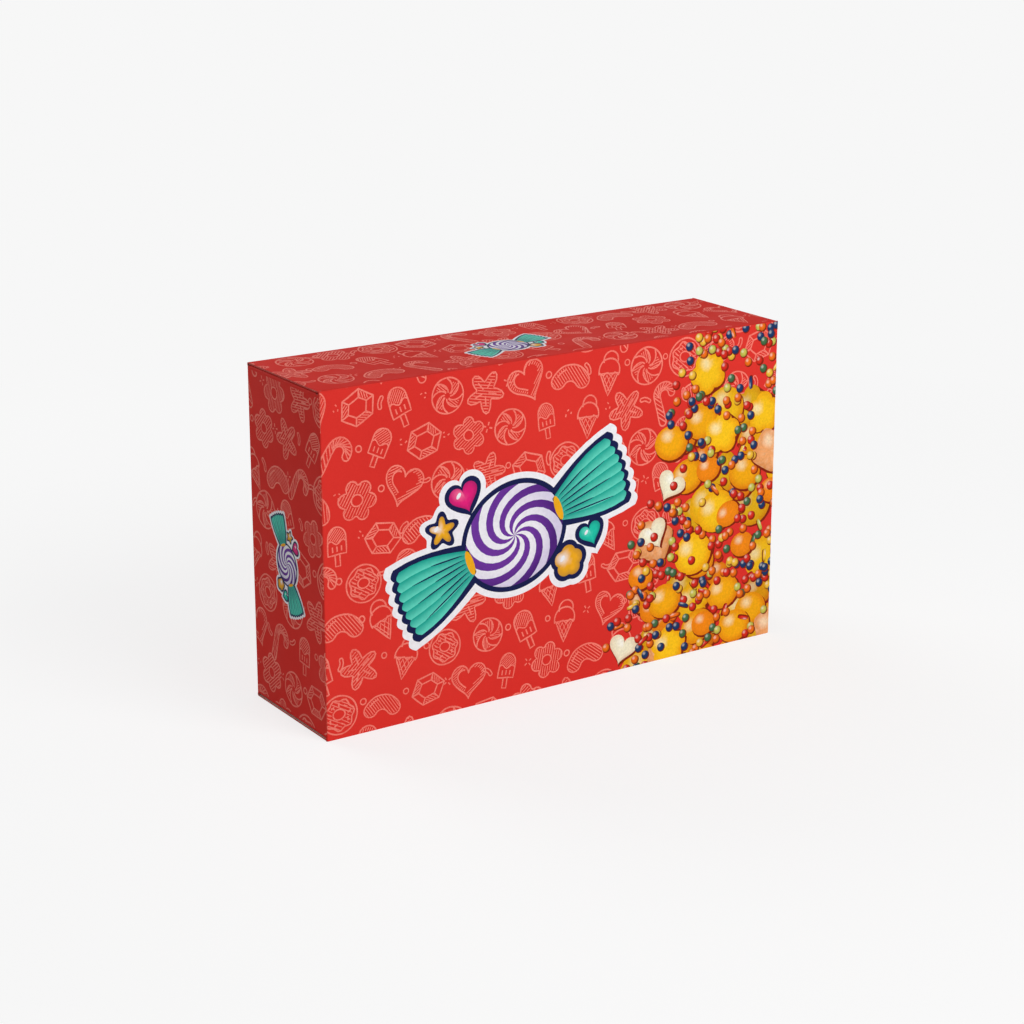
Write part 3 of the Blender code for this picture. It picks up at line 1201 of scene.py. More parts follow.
class Sketch:
    """Each motif, about 14 mm across, round the origin."""

    @staticmethod
    def cane() -> Drawing:
        """A striped cane with its crook to the right.

        Returns:
            The drawing.
        """
        crook = Pen.line((-2.6, -7.4), (-2.6, 2.6)) + Pen.arc((0.8, 2.6), 3.4, 168, -8)
        strokes, stripes = [Pen.band(crook, 1.5)], []
        for index, ((ax, ay), (bx, by)) in enumerate(zip(crook, crook[1:]), 1):
            run = math.dist((ax, ay), (bx, by))
            tx, ty = (bx - ax) / run, (by - ay) / run
            low = (ax + ty * 1.3 - tx * 0.6, ay - tx * 1.3 - ty * 0.6)
            high = (bx - ty * 1.3 + tx * 0.6, by + tx * 1.3 + ty * 0.6)
            (strokes if index % 2 else stripes).append([low, high])
        return Drawing(strokes, stripes)

    @staticmethod
    def heart() -> Drawing:
        """A sugared heart with a highlight.

        Returns:
            The drawing.
        """
        around = (heart_curve(math.tau * (step / 40)) for step in range(40))
        edge = [(x * 0.43, y * 0.43 + 1) for x, y in around]
        edge.append(edge[0])
        inner = [(x * 0.66, (y - 1) * 0.66 + 1.2) for x, y in edge]
        return Drawing([edge, inner[24:36]], Pen.hatch([edge, inner], 35, 0.8))

    @staticmethod
    def star() -> Drawing:
        """A soft five-pointed star with creases towards its points.

        Returns:
            The drawing.
        """
        edge = Pen.polar(lambda a: 5.2 + 1.9 * math.cos(5 * a), 42, math.pi / 2)
        turns = [math.pi / 2 + point * math.tau / 5 for point in range(5)]
        creases = [[plain(turn, reach) for reach in (1.2, 2.6, 4.3)] for turn in turns]
        return Drawing([edge, *creases], Pen.hatch([edge], 22))

    @staticmethod
    def ring() -> Drawing:
        """An iced ring with a few sprinkles.

        Returns:
            The drawing.
        """
        icing = Pen.polar(lambda a: 5.1 + 0.45 * math.sin(7 * a), 34)
        hole = Pen.ring((0, 0.2), 2.1, 0.85)
        strokes = [Pen.ring((0, 0), 6.5), icing, hole]
        for angle in (index * math.tau / 9 + 0.2 for index in range(9)):
            x, y = 3.6 * math.cos(angle), 3.5 * math.sin(angle)
            dx, dy = plain(angle * 3, 0.7)
            strokes.append([(x - dx, y - dy), (x + dx, y + dy)])
        return Drawing(strokes, Pen.hatch([icing, hole], -28, 1.1))

    @staticmethod
    def bean() -> Drawing:
        """A curved jelly bean."""
        edge = Pen.band(Pen.arc((0, -4.6), 5.6, 148, 32), 2.7)
        return Drawing([edge, Pen.arc((0, -4.6), 6.9, 140, 104)], Pen.hatch([edge], -52))

    @staticmethod
    def lolly() -> Drawing:
        """An ice lolly on a stick, dipped at its top.

        Returns:
            The drawing.
        """
        crown = Pen.arc((0, 3.4), 3.4, 172, 8)
        body = Pen.line((-3.4, -2.6), (-3.4, 3.4)) + crown + Pen.line((3.4, 3.4), (3.4, -2.6), (-3.4, -2.6))
        wave = Pen.trace(lambda t: (-3.4 + 6.8 * t, 1.6 + 0.7 * math.sin(t * 9.4)), 8)
        stick = Pen.line((-0.9, -2.9), (-0.9, -6.6), (0.9, -6.6), (0.9, -2.9))
        ribs = [[(x, -1.6), (x, 0.2)] for x in (-1.6, 0.0, 1.6)]
        dip = Pen.hatch([wave[::-1] + crown + wave[-1:]], 48, 0.75)
        return Drawing([body[:-1] + body[:1], wave, stick, *ribs], dip)

    @staticmethod
    def cone() -> Drawing:
        """A waffle cone with two scoops.

        Returns:
            The drawing.
        """
        waffle = Pen.line((-3.7, -0.4), (3.7, -0.4), (0, -8.0), (-3.7, -0.4))
        scoops = [Pen.arc((0, 0.4), 4.3, 196, -16), Pen.arc((0.4, 4.2), 2.9, 200, -24)]
        curl = Pen.trace(lambda t: (-4.1 + 8.2 * t, -0.6 + 0.55 * math.cos(t * 15.7)), 9)
        net = Pen.hatch([waffle], 62, 1.5) + Pen.hatch([waffle], -62, 1.5)
        shade = Pen.arc((0, 0.4), 3.3, 60, 0) + Pen.arc((0, 0.4), 3.9, -4, 60)
        return Drawing([waffle, *scoops, curl], net + Pen.hatch([shade + shade[:1]], 20, 0.7))

    @staticmethod
    def gem() -> Drawing:
        """A boiled sweet cut like a gem.

        Returns:
            The drawing.
        """
        outer, inner = (
            [(-x, 0), (-x * 0.5, y), (x * 0.5, y), (x, 0), (x * 0.5, -y), (-x * 0.5, -y)]
            for x, y in ((6.8, 5.0), (3.9, 2.7))
        )
        strokes, fill = [Pen.line(*ring, ring[0]) for ring in (outer, inner)], []
        for side in (0, 2, 4):
            facet = [outer[side], outer[side + 1], inner[side + 1], inner[side], outer[side]]
            fill += Pen.hatch([facet], 20 + side * 30, 0.8)
        return Drawing(strokes + [Pen.line(a, b) for a, b in zip(outer, inner)], fill)

    @staticmethod
    def flower() -> Drawing:
        """A six-petalled jelly flower."""
        lines = [Pen.polar(lambda a: 4.2 + 2.4 * abs(math.cos(3 * a)) ** 0.7, 46), Pen.ring((0, 0), 1.9)]
        return Drawing(lines, Pen.hatch(lines, 66))

    @staticmethod
    def mint() -> Drawing:
        """A round mint with curved vanes, every other one hatched.

        Returns:
            The drawing.
        """
        share, fill = math.tau / 8, []
        edges = [[plain(vane * share + 0.22 * step, 1 + step) for step in range(6)] for vane in range(9)]
        for vane in range(1, 8, 2):
            loop = edges[vane] + edges[vane + 1][::-1] + edges[vane][:1]
            fill += Pen.hatch([loop], math.degrees(vane * share) + 70, 0.8)
        return Drawing([Pen.ring((0, 0), 6.2), *edges[:8]], fill)

    @staticmethod
    def bubble() -> Drawing:
        """A small open circle."""
        return Drawing([Pen.ring((0, 0), 1.0)])

    @staticmethod
    def spark() -> Drawing:
        """Four short rays."""
        rays = ((1, 0), (0, 1), (-1, 0), (0, -1))
        return Drawing([[(x * 0.6, y * 0.6), (x * 1.7, y * 1.7)] for x, y in rays])

    @staticmethod
    def comma() -> Drawing:
        """A short curved sprinkle, outlined."""
        return Drawing([Pen.band(Pen.arc((0, -2.6), 2.8, 125, 60), 0.6)])

    @staticmethod
    def crumbs() -> Drawing:
        """Three short dashes."""
        return Drawing([[(-1.4, 0), (-0.7, 0.5)], [(0.3, 0.9), (1.0, 0.7)], [(0.4, -0.9), (1.0, -0.6)]])


@dataclass(frozen=True)
class Nib:
    """The chalky pen: its line's width and height, and how far the hand strays."""

    width: float = 0.54 * MM
    height: float = 0.022 * MM
    sway: float = 0.22
    sway_scale: float = 0.22
    weight: float = 0.3
    fine: float = 0.6

    def draw(self, name: str, drawing: Drawing, material: Ink, hand: int) -> Piece:
        """Draws strokes as thin raised lines.

        Args:
            name: The object's name.
            drawing: The strokes, in millimetres.
            material: The ink.
            hand: Which way the hand strays.

        Returns:
            The lines, flat in XY, with their underside a little below 0.
        """
        made = Bench.add(name, bpy.ops.curve.primitive_bezier_curve_add)
        curve, fine = made.data, [(stroke, self.fine) for stroke in drawing.hatch]
        curve.splines.clear()
        for stroke, press in [(stroke, 1.0) for stroke in drawing.lines] + fine:
            closed = len(stroke) > 2 and stroke[0] == stroke[-1]
            points = stroke[:-1] if closed else stroke
            spline = curve.splines.new("POLY")
            spline.points.add(len(points) - 1)
            for knot, (x, y) in zip(spline.points, points):
                place = Vector((x, y, hand * 10)) * self.sway_scale
                stray = noise.noise_vector(place) * self.sway
                knot.co = ((x + stray.x) * MM, (y + stray.y) * MM, 0, 1)
                knot.radius = press * (1 + self.weight * stray.z / self.sway)
            spline.use_cyclic_u = closed
        curve.dimensions, curve.twist_mode, curve.use_fill_caps = "3D", "Z_UP", True
        curve.bevel_depth, curve.bevel_resolution = self.width / 2, 0
        curve.materials.append(material)
        bpy.ops.object.convert(target="MESH")
        bpy.ops.object.shade_flat()
        made.data.transform(Matrix.Diagonal((1, 1, self.height / self.width, 1)))
        made.data.transform(Matrix.Translation((0, 0, self.height / 6)))
        Bench.mend(made)
        return made


@dataclass(frozen=True)
class LinePattern:
    """The all-over pattern of pale line drawings, scattered on a loose grid."""

    pitch: Flat = (16.6, 14.6)
    stray: float = 1.1
    lean: float = math.radians(34)
    least: float = 0.94
    most: float = 1.1
    hands: int = 2
    fill_share: float = 0.85
    fill_rise: float = 0.12
    first_row: float = -0.35
    reach: float = 9.0
    hand_seed: int = 5
    nib: Nib = Nib()

    def masters(self, material: Ink) -> dict[tuple[Enum, int], Piece]:
        """Draws each motif and filler once for each hand.

        Args:
            material: The ink.

        Returns:
            The drawings, by what they show and by hand.
        """
        # Without a seed of its own, the noise that sways the hand starts from the clock.
        noise.seed_set(self.hand_seed)
        drawings = {kind: getattr(Sketch, kind.name.lower())() for kind in (*Motif, *Filler)}
        return {
            (kind, hand): self.nib.draw(f"{kind.name.lower()}_{hand}", drawing, material, hand)
            for kind, drawing in drawings.items()
            for hand in range(self.hands)
        }

    def spots(self, face: Face, draw: random.Random) -> Iterator[tuple[Flat, type[Enum]]]:
        """Gives the places of the drawings on a face.

        Args:
            face: The face.
            draw: The draw that the scatter uses.

        Yields:
            A place in millimetres, and what kind of drawing it is for.
        """
        step_x, step_y = self.pitch
        (left, low), (right, high) = ([at / MM for at in corner] for corner in (face.low, face.high))
        shift = draw.uniform(0, step_x)
        for row in range(round((high - low) / step_y) + 2):
            y = low + (row + self.first_row) * step_y
            x = left - step_x + shift + (row % 2) * step_x / 2
            while x < right + step_x:
                yield (x + draw.uniform(-1, 1) * self.stray, y + draw.uniform(-1, 1) * self.stray), Motif
                if draw.random() < self.fill_share:
                    yield (x + step_x / 2, y + step_y * self.fill_rise), Filler
                x += step_x

    def build(self, face: Face, masters: dict, hidden: Callable[[Flat], bool], seed: int) -> None:
        """Scatters the drawings on a face.

        Args:
            face: The face.
            masters: The drawings.
            hidden: Tells whether a place lies wholly under other print.
            seed: What the scatter starts from.
        """
        draw, copies, last = random.Random(seed), [], []
        for place, family in self.spots(face, draw):
            kind = draw.choice([kind for kind in family if kind not in last[-3:]])
            hand, lean = draw.randrange(self.hands), self.lean if family is Motif else math.pi
            turn, size = draw.uniform(-1, 1) * lean, draw.uniform(self.least, self.most)
            if family is Motif:
                last.append(kind)
            if face.near(place, self.reach) and not hidden(place):
                copies.append(Bench.copy(masters[kind, hand], laid(place, turn, size)))
        face.cover(Bench.join(face.name + "_line_pattern", copies))


def plain(angle: float, reach: float = 1.0) -> Flat:
    """Gives the point at an angle and a reach, which is a round outline's at a reach of 1."""
    return (reach * math.cos(angle), reach * math.sin(angle))


def heart(angle: float) -> Flat:
    """Gives a point of a heart with its tip down."""
    x, y = heart_curve(math.pi / 2 - angle)
    return (x / 16, y / 16 + 0.12)


def squircle(angle: float, power: float) -> Flat:
    """Gives a point of a square with full, round corners."""
    fullness = abs(math.cos(angle)) ** power + abs(math.sin(angle)) ** power
    return plain(angle, fullness ** (-1 / power))


def pillow(angle: float) -> Flat:
    """Gives a point of a pillow-shaped square."""
    return squircle(angle, 5.0)


def capsule(angle: float) -> Flat:
    """Gives a point of a stick with round ends, once it is squashed."""
    return squircle(angle, 4.0)


def blossom(angle: float) -> Flat:
    """Gives a point of a five-lobed flower."""
    return plain(angle, 0.8 + 0.2 * abs(math.cos(2.5 * angle)) ** 0.8)


def spiked(angle: float) -> Flat:
    """Gives a point of a soft five-pointed star."""
    return plain(angle, 0.74 + 0.26 * math.cos(5 * angle))


def solid(colour: Colour) -> PaintRule:
    """Gives a paint rule of one colour."""
    return lambda middle, corner: colour


@dataclass(frozen=True)
class Disc:
    """A flat printed shape made of rings round a middle, painted while it is still a unit circle."""

    paint: PaintRule
    outline: Outline
    sides: int
    rings: tuple[float, ...]
    curl: float = 0.0
    sunk: float = 0.01 * MM

    def build(self, name: str, size: Flat, height: float, material: Ink) -> Piece:
        """Models the shape.

        Args:
            name: The object's name.
            size: Its half width and half height, in millimetres.
            height: How high its printed side lies over the board.
            material: The ink.

        Returns:
            The shape, flat in XY.
        """
        circle = {"vertices": self.sides, "radius": 1, "fill_type": "NGON"}
        made = Bench.add(name, bpy.ops.mesh.primitive_circle_add, **circle)
        apothem, before = math.cos(math.pi / self.sides), 1.0
        with Bench.shaping(made, Part.FACE):
            bpy.ops.mesh.extrude_region_move(TRANSFORM_OT_translate={"value": (0, 0, 1)})
            for share in self.rings:
                bpy.ops.mesh.inset(thickness=(before - share) * apothem)
                before = share
            bpy.ops.mesh.poke()
            bpy.ops.mesh.select_all(action="SELECT")
            bpy.ops.mesh.normals_make_consistent(inside=False)
        Bench.paint(made, self.paint)
        for vertex in made.data.vertices:
            radius, angle = math.hypot(*vertex.co.xy), math.atan2(vertex.co.y, vertex.co.x)
            x, y = self.outline(angle + self.curl * (1 - radius))
            vertex.co.x, vertex.co.y = x * radius * size[0] * MM, y * radius * size[1] * MM
            vertex.co.z = vertex.co.z * (height + self.sunk) - self.sunk
        made.data.materials.append(material)
        return made


@dataclass(frozen=True)
class Shade:
    """Painted light on a sweet: a bright spot up and to the left, and a darker rim."""

    base: Colour
    rim: Colour
    glint: Colour
    spot_size: float
    spot: Flat = (-0.32, 0.36)
    rim_start: float = 0.55
    rim_even: float = 0.45
    rim_low: float = 0.55

    def __call__(self, middle: Vector, corner: Vector) -> Colour:
        """Gives the colour at a corner of the unit circle.

        Args:
            middle: The middle of the corner's face.
            corner: The corner's place.

        Returns:
            The colour.
        """
        away, down = math.hypot(*corner.xy), 0.5 + 0.5 * (corner.x - corner.y) / math.sqrt(2)
        edge = max(0.0, (away - self.rim_start) / (1 - self.rim_start))
        edge *= self.rim_even + self.rim_low * down
        near = math.dist(corner.xy, self.spot) / self.spot_size
        return mixed(mixed(self.base, self.rim, edge), self.glint, max(0.0, 1 - near))


@dataclass(frozen=True)
class Charm:
    """A small sweet of the badge: its middle and radius in millimetres, outline, ink and highlight."""

    place: Flat
    radius: float
    outline: Outline
    tone: Colour
    pale: Colour


@dataclass(frozen=True)
class Layer:
    """A layer of the badge: its height, how far it is grown all round, and its colour if it has one."""

    height: float
    grow: float = 0.0
    tone: Colour | None = None

    def paint(self, picture: PaintRule) -> PaintRule:
        """Gives its paint rule, which is a picture's where the layer has no colour of its own."""
        return solid(self.tone) if self.tone else picture


@dataclass(frozen=True)
class Badge:
    """The die-cut emblem: a wrapped sweet with a pinwheel, between small sweets."""

    paper: Colour = ink(242, 241, 245)
    navy: Colour = ink(24, 30, 74)
    teal: Colour = ink(34, 196, 168)
    teal_deep: Colour = ink(14, 138, 128)
    teal_pale: Colour = ink(120, 226, 206)
    violet: Colour = ink(112, 56, 158)
    violet_deep: Colour = ink(78, 36, 120)
    lilac: Colour = ink(214, 206, 230)
    pink: Colour = ink(226, 34, 122)
    pink_pale: Colour = ink(246, 120, 158)
    gold: Colour = ink(240, 172, 32)
    contour: Layer = Layer(0.030 * MM, 4.2, paper)
    backing: Layer = Layer(0.042 * MM, 1.9, navy)
    art: Layer = Layer(0.054 * MM)
    line_height: float = 0.066 * MM
    middle: Flat = (21.0, 18.6)
    vanes: int = 8
    curl: float = 2.3
    neck: float = 19.0
    knot: Flat = (1.5, 5.0)
    knot_shift: Flat = (1.2, 0.1)
    fan_length: float = 28.0
    fan_near: float = 4.6
    fan_far: float = 13.2
    pleats: int = 7
    scallop: float = 1.3
    bulge: float = 2.4
    skew: float = 1.5
    teal_share: float = 0.35
    neck_shade: float = 1.2
    light: Flat = (0.6, -0.8)
    vane_shade: float = 1.5
    crease_width: float = 0.28
    crease_start: float = 0.1
    crease_ends: Flat = (0.55, 0.85)
    glint: Flat = (0.22, 0.12)
    glint_away: float = 0.34
    glint_turn: float = math.radians(35)
    tilt: float = math.radians(20)
    cover: Flat = (41.0, 13.0)
    charms: tuple[Charm, ...] = (
        Charm((-13.8, 23.4), 6.0, heart, pink, pink_pale),
        Charm((-26.3, 16.9), 5.4, spiked, gold, paper),
        Charm((17.4, -21.2), 6.2, blossom, gold, paper),
        Charm((29.6, -16.6), 4.8, heart, teal, teal_pale),
    )

    @property
    def material(self) -> Ink:
        """The emblem's ink."""
        return bpy.data.materials["badge_ink"]

    def on_fan(self, side: int, grow: float, along: float, across: float) -> Flat:
        """Gives a place on one end of the wrapper.

        Args:
            side: 1 for the right end, -1 for the left.
            grow: How far the end is grown all round.
            along: How far along it, from 0 to 1.
            across: How far across it, from -1 to 1.

        Returns:
            The place, in millimetres.
        """
        scallop = self.scallop * abs(math.cos(across * self.pleats * math.pi / 2))
        run = (self.fan_length + grow * 2) * along - grow
        flare = self.fan_near + (self.fan_far - self.fan_near) * math.sin(along * math.pi / 2)
        x = self.neck + run + self.bulge * along * (1 - across * across) + scallop * along
        return (side * x, across * (flare + grow) + self.skew * side * along)

    def pleat(self, middle: Vector, corner: Vector) -> Colour:
        """Paints the wrapper's pleats, darker at its neck.

        Args:
            middle: The middle of the corner's face.
            corner: The corner's place.

        Returns:
            The colour.
        """
        fold = (corner.y + 1) / 2 * self.pleats - math.floor((middle.y + 1) / 2 * self.pleats)
        tone = mixed(mixed(self.teal_pale, self.teal_deep, fold), self.teal, self.teal_share)
        return mixed(tone, self.teal_deep, max(0.0, 0.5 - (corner.x + 1) / 2) * self.neck_shade)

    def build_fan(self, side: int, layer: Layer) -> Piece:
        """Models one end of the wrapper.

        Args:
            side: 1 for the right end, -1 for the left.
            layer: The layer that it is for.

        Returns:
            The wrapper's end.
        """
        cells = {"x_subdivisions": 6, "y_subdivisions": self.pleats * 8}
        made = Bench.add("fan", bpy.ops.mesh.primitive_grid_add, size=2, **cells)
        Bench.finish(made, "SOLIDIFY", thickness=1.0, offset=-1.0)
        Bench.paint(made, layer.paint(self.pleat))
        for vertex in made.data.vertices:
            x, y = self.on_fan(side, layer.grow, (vertex.co.x + 1) / 2, vertex.co.y)
            vertex.co = (x * MM, y * MM, layer.height if vertex.co.z > -0.5 else -Disc.sunk)
        if side < 0:
            made.data.flip_normals()
        made.data.materials.append(self.material)
        return made

    def pinwheel(self, middle: Vector, corner: Vector) -> Colour:
        """Paints the pinwheel's vanes, darker down to the right.

        Args:
            middle: The middle of the corner's face.
            corner: The corner's place.

        Returns:
            The colour.
        """
        sector = math.floor((math.atan2(middle.y, middle.x) / math.tau + 1) * self.vanes * 2)
        pale, deep = ((self.paper, self.lilac), (self.violet, self.violet_deep))[sector % 2]
        down = 0.5 + 0.5 * (corner.x * self.light[0] + corner.y * self.light[1])
        return mixed(pale, deep, math.hypot(*corner.xy) ** 2 * down * self.vane_shade)

    def build_middle(self, layer: Layer) -> Piece:
        """Models the round middle of the sweet.

        Args:
            layer: The layer that it is for.

        Returns:
            The middle.
        """
        rings = (0.97, 0.92, 0.86, 0.79, 0.71, 0.63, 0.55, 0.47, 0.39, 0.31, 0.23, 0.15, 0.08, 0.03)
        rings, curl = ((0.5,), 0.0) if layer.tone else (rings, self.curl)
        disc = Disc(layer.paint(self.pinwheel), plain, self.vanes * 12, rings, curl)
        size = (self.middle[0] + layer.grow, self.middle[1] + layer.grow)
        return disc.build("middle", size, layer.height, self.material)

    def build_charm(self, charm: Charm, layer: Layer) -> Piece:
        """Models one small sweet.

        Args:
            charm: The small sweet.
            layer: The layer that it is for.

        Returns:
            The sweet.
        """
        full, rings = charm.radius + layer.grow, (0.5,) if layer.tone else (0.86, 0.62, 0.34)

        def grown(angle: float) -> Flat:
            """Gives a point of the grown outline.

            Args:
                angle: The point's angle.

            Returns:
                The point.
            """
            x, y = charm.outline(angle)
            scale = (charm.radius + layer.grow / math.hypot(x, y)) / full
            return (x * scale, y * scale)

        shade = Shade(charm.tone, mixed(charm.tone, self.navy, 0.45), charm.pale, 0.6)
        disc = Disc(layer.paint(shade), grown, 48, rings)
        made = disc.build("charm", (full, full), layer.height, self.material)
        made.data.transform(laid(charm.place))
        return made

    def silhouette(self, layer: Layer) -> Piece:
        """Models the whole emblem's outline as one plate.

        Args:
            layer: The layer that it is for.

        Returns:
            The plate.
        """
        plate = self.build_middle(layer)
        shapes = [self.build_fan(side, layer) for side in (-1, 1)]
        shapes += [self.build_charm(charm, layer) for charm in self.charms]
        for shape in shapes:
            # This solver gives the same mesh at each run, which the exact one does not.
            Bench.finish(plate, "BOOLEAN", operation="UNION", object=shape, solver="MANIFOLD")
        Bench.drop(*shapes)
        Bench.paint(plate, solid(layer.tone))
        return plate

    def dab(self, place: Flat, size: Flat, turn: float, tone: Colour) -> Piece:
        """Models one glossy highlight or dark crease over the artwork.

        Args:
            place: Its middle, in millimetres.
            size: Its half width and half height, in millimetres.
            turn: How far it is turned, in radians.
            tone: Its colour.

        Returns:
            The dab.
        """
        made = Disc(solid(tone), plain, 14, (0.5,)).build("dab", size, self.line_height, self.material)
        made.data.transform(laid(place, turn))
        return made

    def dabs(self) -> list[Piece]:
        """Models the highlights, the pleats' creases and the wrapper's knots.

        Returns:
            The dabs.
        """
        made = []
        for (x, y), radius in ((charm.place, charm.radius) for charm in self.charms):
            spot = (x - radius * self.glint_away, y + radius * self.glint_away)
            size = (radius * self.glint[0], radius * self.glint[1])
            made.append(self.dab(spot, size, self.glint_turn, self.paper))
        for side in (-1, 1):
            for fold in range(1, self.pleats):
                across, run = fold / self.pleats * 2 - 1, (self.crease_start, self.crease_ends[fold % 2])
                (ax, ay), (bx, by) = (self.on_fan(side, 0, along, across) for along in run)
                spot, long = ((ax + bx) / 2, (ay + by) / 2), math.dist((ax, ay), (bx, by)) / 2
                turn = math.atan2(by - ay, bx - ax)
                made.append(self.dab(spot, (long, self.crease_width), turn, self.navy))
            spot = (side * (self.neck + self.knot_shift[0]), side * self.knot_shift[1])
            made.append(self.dab(spot, self.knot, 0, self.gold))
        return made

    def build(self) -> Piece:
        """Models the emblem, flat in XY round the origin and tilted as it lies on the front.

        Returns:
            The emblem.
        """
        PictureFinish("badge_ink", 900, 0.05).make()
        pieces = [
            self.silhouette(self.contour),
            self.silhouette(self.backing),
            self.build_middle(self.art),
            *(self.build_fan(side, self.art) for side in (-1, 1)),
            *(self.build_charm(charm, self.art) for charm in self.charms),
            *self.dabs(),
        ]
        made = Bench.join("badge_master", pieces)
        made.data.transform(Matrix.Rotation(self.tilt, 4, "Z"))
        return made

    def hides(self, place: Flat) -> bool:
        """Tells whether a motif at a place from the emblem's middle would lie wholly under it."""
        turned = Matrix.Rotation(-self.tilt, 2) @ Vector(place)
        return sum((at / reach) ** 2 for at, reach in zip(turned, self.cover)) < 1

    @staticmethod
    def stamp(master: Piece, face: Face, place: Flat, size: float, turn: float) -> None:
        """Prints the emblem on a face.

        Args:
            master: The emblem.
            face: The face.
            place: Where its middle goes, in millimetres.
            size: Its scale.
            turn: How far it is turned, in degrees.
        """
        made = Bench.copy(master, laid(place, math.radians(turn), size))
        made.name = made.data.name = face.name + "_badge"
        face.cover(made)


@dataclass(frozen=True)
class Sweet:
    """One kind of printed sweet in the cascade."""

    size: Flat
    base: Colour
    rim: Colour
    glint: Colour
    outline: Outline = plain
    sides: int = 24
    rings: tuple[float, ...] = (0.93, 0.8, 0.6, 0.36, 0.16)
    sugar: float = 0.0
    spot_size: float = 0.42
    weight: float = 1.0
    outer: float = 0.0
    lowest: int = 0
    gloom: Colour = ink(96, 20, 10)
    crystal: Colour = ink(255, 240, 214)
    crystals: float = 9.0

    def reach(self, shadow: float) -> float:
        """Gives how far it, grown by half its shadow's shift, stands out from its middle."""
        points = (self.outline(math.tau * step / self.sides) for step in range(self.sides))
        return max(math.hypot(x * self.size[0], y * self.size[1]) for x, y in points) + shadow / 2

    def tone(self, depth: float) -> PaintRule:
        """Gives the paint rule, darker the deeper the sweet lies in the heap.

        Args:
            depth: How dark it is, from 0 to 1.

        Returns:
            The paint rule.
        """
        shade = Shade(self.base, self.rim, self.glint, self.spot_size)

        def rule(middle: Vector, corner: Vector) -> Colour:
            """Gives the colour at a corner of the unit circle.

            Args:
                middle: The middle of the corner's face.
                corner: The corner's place.

            Returns:
                The colour.
            """
            speck = noise.noise(Vector((corner.x, corner.y, self.size[0])) * self.crystals)
            sugared = mixed(shade(middle, corner), self.crystal, max(0.0, speck) * self.sugar)
            return mixed(sugared, self.gloom, depth)

        return rule


def jelly(size: Flat, base: Colour, rim: Colour, *shape: object, **settings: object) -> Sweet:
    """Gives a glossy jelly of two colours, with a pale glint."""
    return Sweet(size, base, rim, mixed(base, ink(255, 250, 220), 0.7), *shape, **settings)


@dataclass(frozen=True)
class Confectionery:
    """The kinds of sweets and sugar sprinkles that the cascade holds."""

    amber: Colour = ink(246, 172, 20)
    lemon: Colour = ink(252, 198, 30)
    orange: Colour = ink(244, 138, 22)
    peach: Colour = ink(240, 164, 104)
    cream: Colour = ink(244, 238, 208)
    burnt: Colour = ink(224, 120, 14)
    toffee: Colour = ink(214, 132, 66)
    deep: Colour = ink(236, 150, 12)

    def big(self) -> dict[str, Sweet]:
        """Lists the large sweets by name.

        Returns:
            The sweets.
        """
        shadow, glint = mixed(self.cream, self.toffee, 0.4), ink(255, 253, 244)
        loose = {"weight": 0.3, "outer": 24.0, "lowest": 3}
        return {
            "lemon_drop": jelly((8.4, 8.0), self.lemon, self.deep, weight=2.0),
            "amber_oval": jelly((7.4, 6.4), self.amber, self.burnt, weight=2.0),
            "orange_oval": jelly((5.4, 4.7), self.orange, self.burnt, weight=1.5, outer=1.0),
            "lemon_flower": jelly((8.0, 8.0), self.lemon, self.deep, blossom, 40),
            "peach_pillow": jelly((7.4, 7.0), self.peach, self.toffee, pillow, 32, sugar=0.4, lowest=2),
            "cream_heart": Sweet((6.4, 6.0), self.cream, shadow, glint, heart, 40, **loose),
        }

    def small(self) -> dict[str, Sweet]:
        """Lists the sugar balls and sugar sticks by name.

        Returns:
            The sweets.
        """
        made = {}
        for name, base, weight in (
            ("red", ink(214, 44, 30), 2.4),
            ("tangerine", ink(240, 112, 24), 2.4),
            ("yellow", ink(244, 190, 60), 1.3),
            ("navy", ink(28, 58, 104), 2.2),
            ("green", ink(70, 110, 70), 0.7),
            ("lime", ink(204, 196, 84), 0.9),
        ):
            tones = (base, mixed(base, ink(30, 6, 6), 0.6), mixed(base, ink(255, 250, 240), 0.7))
            for kind, size, *shape, share in (
                ("_ball", (1.6, 1.6), plain, 12, (0.7, 0.3), 1),
                ("_stick", (2.4, 0.75), capsule, 12, (0.55,), 0.12),
            ):
                made[name + kind] = Sweet(size, *tones, *shape, spot_size=0.5, weight=weight * share)
        return made


@dataclass(frozen=True)
class Placed:
    """One sweet in its place: where it lies, how high, and how it is turned."""

    name: str
    place: Flat
    radius: float
    layer: int
    turn: float
    hold: float = 0.85

    def bears(self, place: Flat) -> bool:
        """Tells whether a place lies well on this sweet, and this is one of the upper large ones."""
        return self.layer in (2, 3) and math.dist(place, self.place) < self.radius * self.hold


